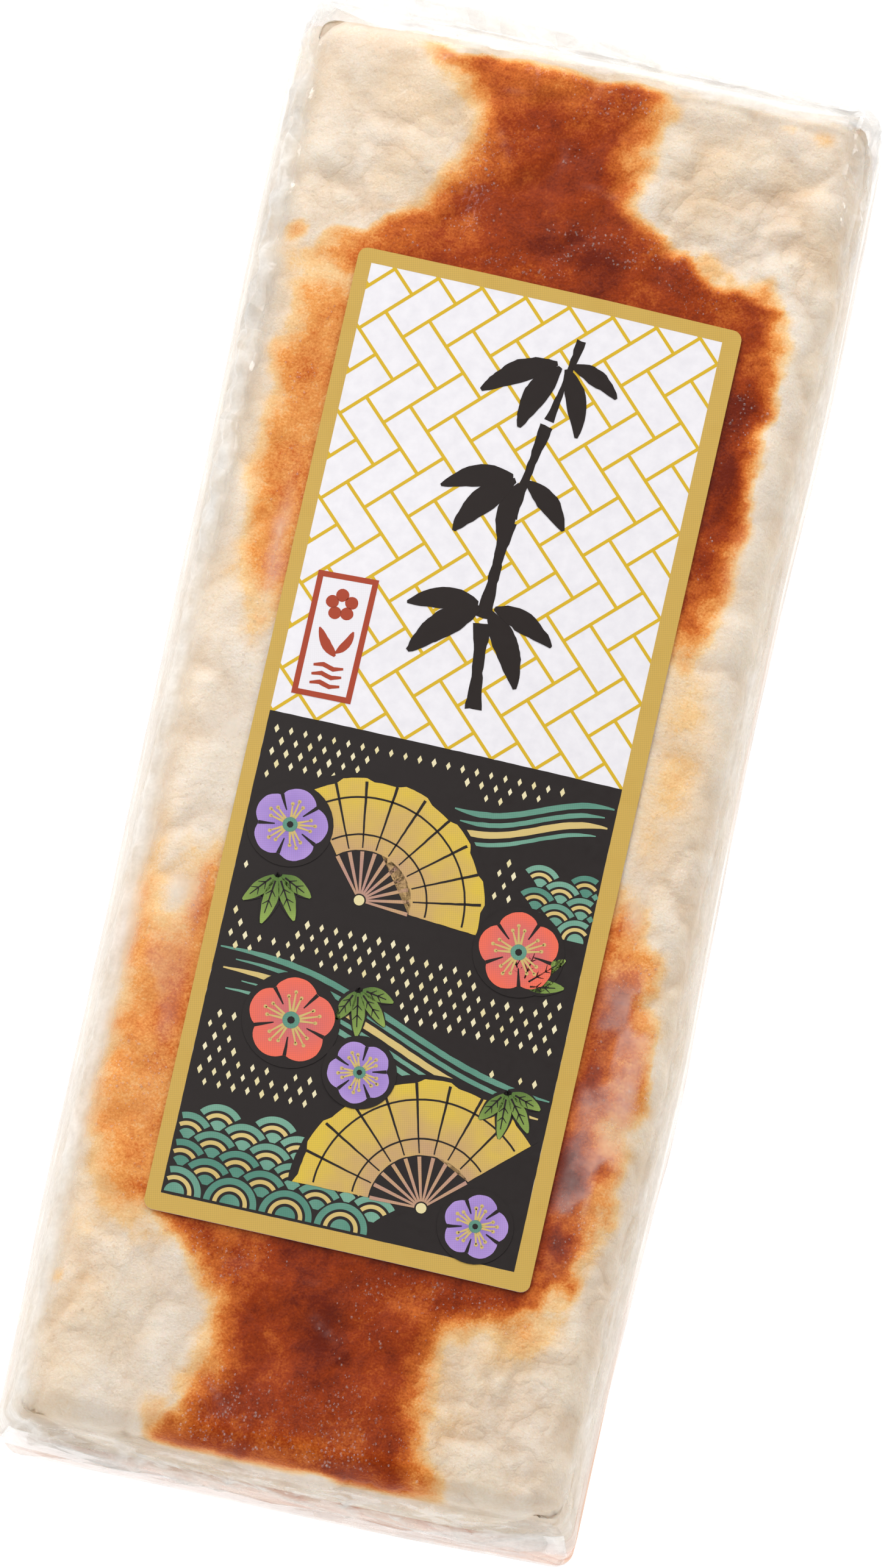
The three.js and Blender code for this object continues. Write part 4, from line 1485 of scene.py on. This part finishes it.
def labelInk(name):
    material, tree = newMaterial(name + "Ink")
    first, second = (seen(*rgb) for rgb in inkColours[name])
    uneven = spread(tree, noise(tree, 300, 3, 0.5), 0.3, 0.7, -0.18, 0.18)
    tone = plus(tree, value(tree, "tone"), uneven, clamp=True)
    colour = mixColour(tree, tone, first, second)
    # the fine dots of the printing screen
    slanted = add(tree, "Mapping", {"Vector": place(tree), "Rotation": (0, 0, 0.6)})
    split = add(tree, "SeparateXYZ", {"Vector": slanted})
    dots = times(tree, calc(tree, "SINE", times(tree, split.outputs["X"], 22000)),
                calc(tree, "SINE", times(tree, split.outputs["Y"], 22000)))
    depth = 0.16 if name in ("gold", "ochre", "coral", "violet", "green", "teal") else 0.05
    colour = mixColour(tree, spread(tree, dots, -0.6, 0.8, 0, depth), colour, (0.02, 0.015, 0.012))
    weave = noise(tree, 1400, 3, 0.6)
    showSurface(tree, surface(tree, Base_Color=colour, Roughness=spread(tree, weave, 0.3, 0.7, 0.4, 0.55),
                              Specular_IOR_Level=0.22, Normal=bump(tree, weave, 0.25, 0.03)))
    return material


def labelPaper():
    material, tree = newMaterial("labelPaper")
    fibres = noise(tree, 700, 4, 0.6)
    colour = mixColour(tree, spread(tree, fibres, 0.35, 0.7), seen(236, 233, 237), seen(228, 225, 230))
    normal = bump(tree, noise(tree, 160, 3, 0.5), 0.2, 0.3, bump(tree, fibres, 0.2, 0.04))
    showSurface(tree, surface(tree, Base_Color=colour, Roughness=0.42, Normal=normal))
    return material


# Moisture under the film

moisture = {
    "beads": 3600,
    "sizes": (0.05, 0.19),  # radius
    "seed": 5,
}


def makeMoisture(material):
    draw = np.random.default_rng(moisture["seed"])
    ball = bmesh.new()
    bmesh.ops.create_icosphere(ball, subdivisions=1, radius=1)
    ballPoints = np.array([v.co[:] for v in ball.verts])
    ballFaces = [[v.index for v in face.verts] for face in ball.faces]
    ball.free()
    smallest, largest = moisture["sizes"]
    points, faces, made, batch = [], [], 0, 400
    while made < moisture["beads"]:
        x, y = draw.uniform(-28, 28, batch), draw.uniform(-74, 74, batch)
        brown = browningAt(x, y, np.full_like(x, cakeTop))
        crowd = smooth(1.6 * cloud(x / 5, y / 5, 141, 3) + 0.35)
        wanted = (0.22 + 0.78 * smooth(brown / 0.5)) * crowd
        shown = clearOfLabel(x, y) > 0.02
        for k in np.nonzero((draw.uniform(0, 1, batch) < wanted) & shown)[0]:
            radius = smallest + (largest - smallest) * draw.uniform() ** 2
            z = float(heightAt(skinHeights, x[k], y[k])) + film["grow"] - radius * 0.75
            points.append(ballPoints * [radius, radius, radius * 0.6] + [x[k], y[k], z])
            faces += [[v + made * len(ballPoints) for v in face] for face in ballFaces]
            made += 1
            if made == moisture["beads"]:
                break
    return makePiece("moistureBeads", leaning(np.concatenate(points)), faces, material)


def clearMoisture():
    material, tree = newMaterial("clearMoisture")
    gloss = add(tree, "BsdfGlossy", {"Color": (1, 1, 1), "Roughness": 0.08})
    clear = add(tree, "BsdfTransparent", {"Color": (0.97, 0.95, 0.93)})
    shiny = add(tree, "MixShader", {0: mirrorShare(tree, 0.04, None, 0.6), 1: clear, 2: gloss})
    milky = surface(tree, Base_Color=seen(250, 240, 230), Roughness=0.2)
    share = spread(tree, noise(tree, 900, 2, 0.5), 0.3, 0.7, 0.0, 0.06)
    showSurface(tree, add(tree, "MixShader", {0: share, 1: shiny, 2: milky}))
    return material


# Floor, light and camera

studio = {
    "pixelsPerMm": 15.99,
    "photoWidth": 1456,
    "photoHeight": 2572,
    "lean": math.radians(12.38),
    "tilt": math.radians(12.7),
    "distance": 3.2,
    "focusHeight": 0.025,  # the height at which pixelsPerMm holds
    "originPixel": (715.6, 1316.0),  # where the middle of the board's underside is in the photo
    "horizonGlow": 0.7,
    "overheadGlow": 0.24,
    "floorGlow": 0.84,
    # each light's place, size and power
    "lights": {"keyLight": ((-0.72, 0.45, 1.05), (1.15, 1.15), 11.2),
               "backLight": ((0.2, 1.0, 0.6), (1.1, 0.45), 8),
               "frontLight": ((0.3, -1.1, 0.45), (1.2, 0.5), 2.8)},
}


def makeCamera():
    tilt, lean = studio["tilt"], studio["lean"]
    toCamera = Vector((0, -math.sin(tilt), math.cos(tilt)))
    barUp = Vector((0, math.cos(tilt), math.sin(tilt)))
    across = Vector((1, 0, 0))
    up = barUp * math.cos(lean) - across * math.sin(lean)
    right = across * math.cos(lean) + barUp * math.sin(lean)
    perMetre = studio["pixelsPerMm"] / mm
    dx = (studio["photoWidth"] / 2 - studio["originPixel"][0]) / perMetre
    dy = (studio["originPixel"][1] - studio["photoHeight"] / 2) / perMetre
    data = bpy.data.cameras.new("camera")
    data.sensor_fit = "VERTICAL"
    data.sensor_height = 36
    data.lens = 36 * (studio["distance"] - studio["focusHeight"]) / (studio["photoHeight"] / perMetre)
    data.clip_start, data.clip_end = 0.05, 20
    camera = bpy.data.objects.new("camera", data)
    bpy.context.scene.collection.objects.link(camera)
    camera.matrix_world = Matrix((right, up, toCamera)).transposed().to_4x4()
    camera.location = right * dx + up * dy + toCamera * studio["distance"]
    bpy.context.scene.camera = camera


def areaLight(name, spot, size, power):
    data = bpy.data.lights.new(name, "AREA")
    data.shape = "RECTANGLE"
    data.size, data.size_y = size
    data.energy = power
    light = bpy.data.objects.new(name, data)
    light.location = spot
    light.rotation_euler = (Vector((0, 0, 0.02)) - Vector(spot)).to_track_quat("-Z", "Y").to_euler()
    bpy.context.scene.collection.objects.link(light)


def makeFloor():
    size, count = 3.0, 24
    step = np.linspace(-size, size, count)
    gx, gy = np.meshgrid(step, step)
    mesh = bpy.data.meshes.new("floor")
    mesh.from_pydata(np.stack([gx, gy, np.full_like(gx, -0.0002)], -1).reshape(-1, 3).tolist(), [],
                     gridFaces(count, count))
    floor = bpy.data.objects.new("floor", mesh)
    bpy.context.scene.collection.objects.link(floor)
    material, tree = newMaterial("whiteFloor")
    colour = mixColour(tree, noise(tree, 3, 2, 0.5), (0.48, 0.48, 0.48), (0.52, 0.52, 0.52))
    showSurface(tree, surface(tree, Base_Color=colour, Roughness=0.8, Emission_Color=(1.0, 1.0, 1.0),
                              Emission_Strength=studio["floorGlow"]))
    mesh.materials.append(material)


def makeRoom():
    world = bpy.data.worlds.new("softRoom")
    world.use_nodes = True
    tree = world.node_tree
    up = add(tree, "SeparateXYZ", {"Vector": add(tree, "TexCoord").outputs["Generated"]}).outputs["Z"]
    glow = spread(tree, up, 0.1, 0.92, studio["horizonGlow"], studio["overheadGlow"])
    background = tree.nodes["Background"]
    background.inputs["Color"].default_value = (1, 1, 1, 1)
    plug(tree, glow, background.inputs["Strength"])
    bpy.context.scene.world = world
    for name, (spot, size, power) in studio["lights"].items():
        areaLight(name, spot, size, power)
    bpy.context.scene.view_settings.view_transform = "Standard"


# Putting it together

print("board")
makeBoard(paleWood())

print("fish cake")
makeFishCake(fishPaste())

print("film")
filmLook = clearFilm()
makeFilm(filmLook)
makeFlaps(filmLook)

print("label and print")
labelMaterials = {name: labelInk(name) for name in inkColours}
labelMaterials["paper"] = labelPaper()
makeLabel(labelMaterials)

print("moisture under the film")
makeMoisture(clearMoisture())

print("floor, light and camera")
makeFloor()
makeRoom()
makeCamera()
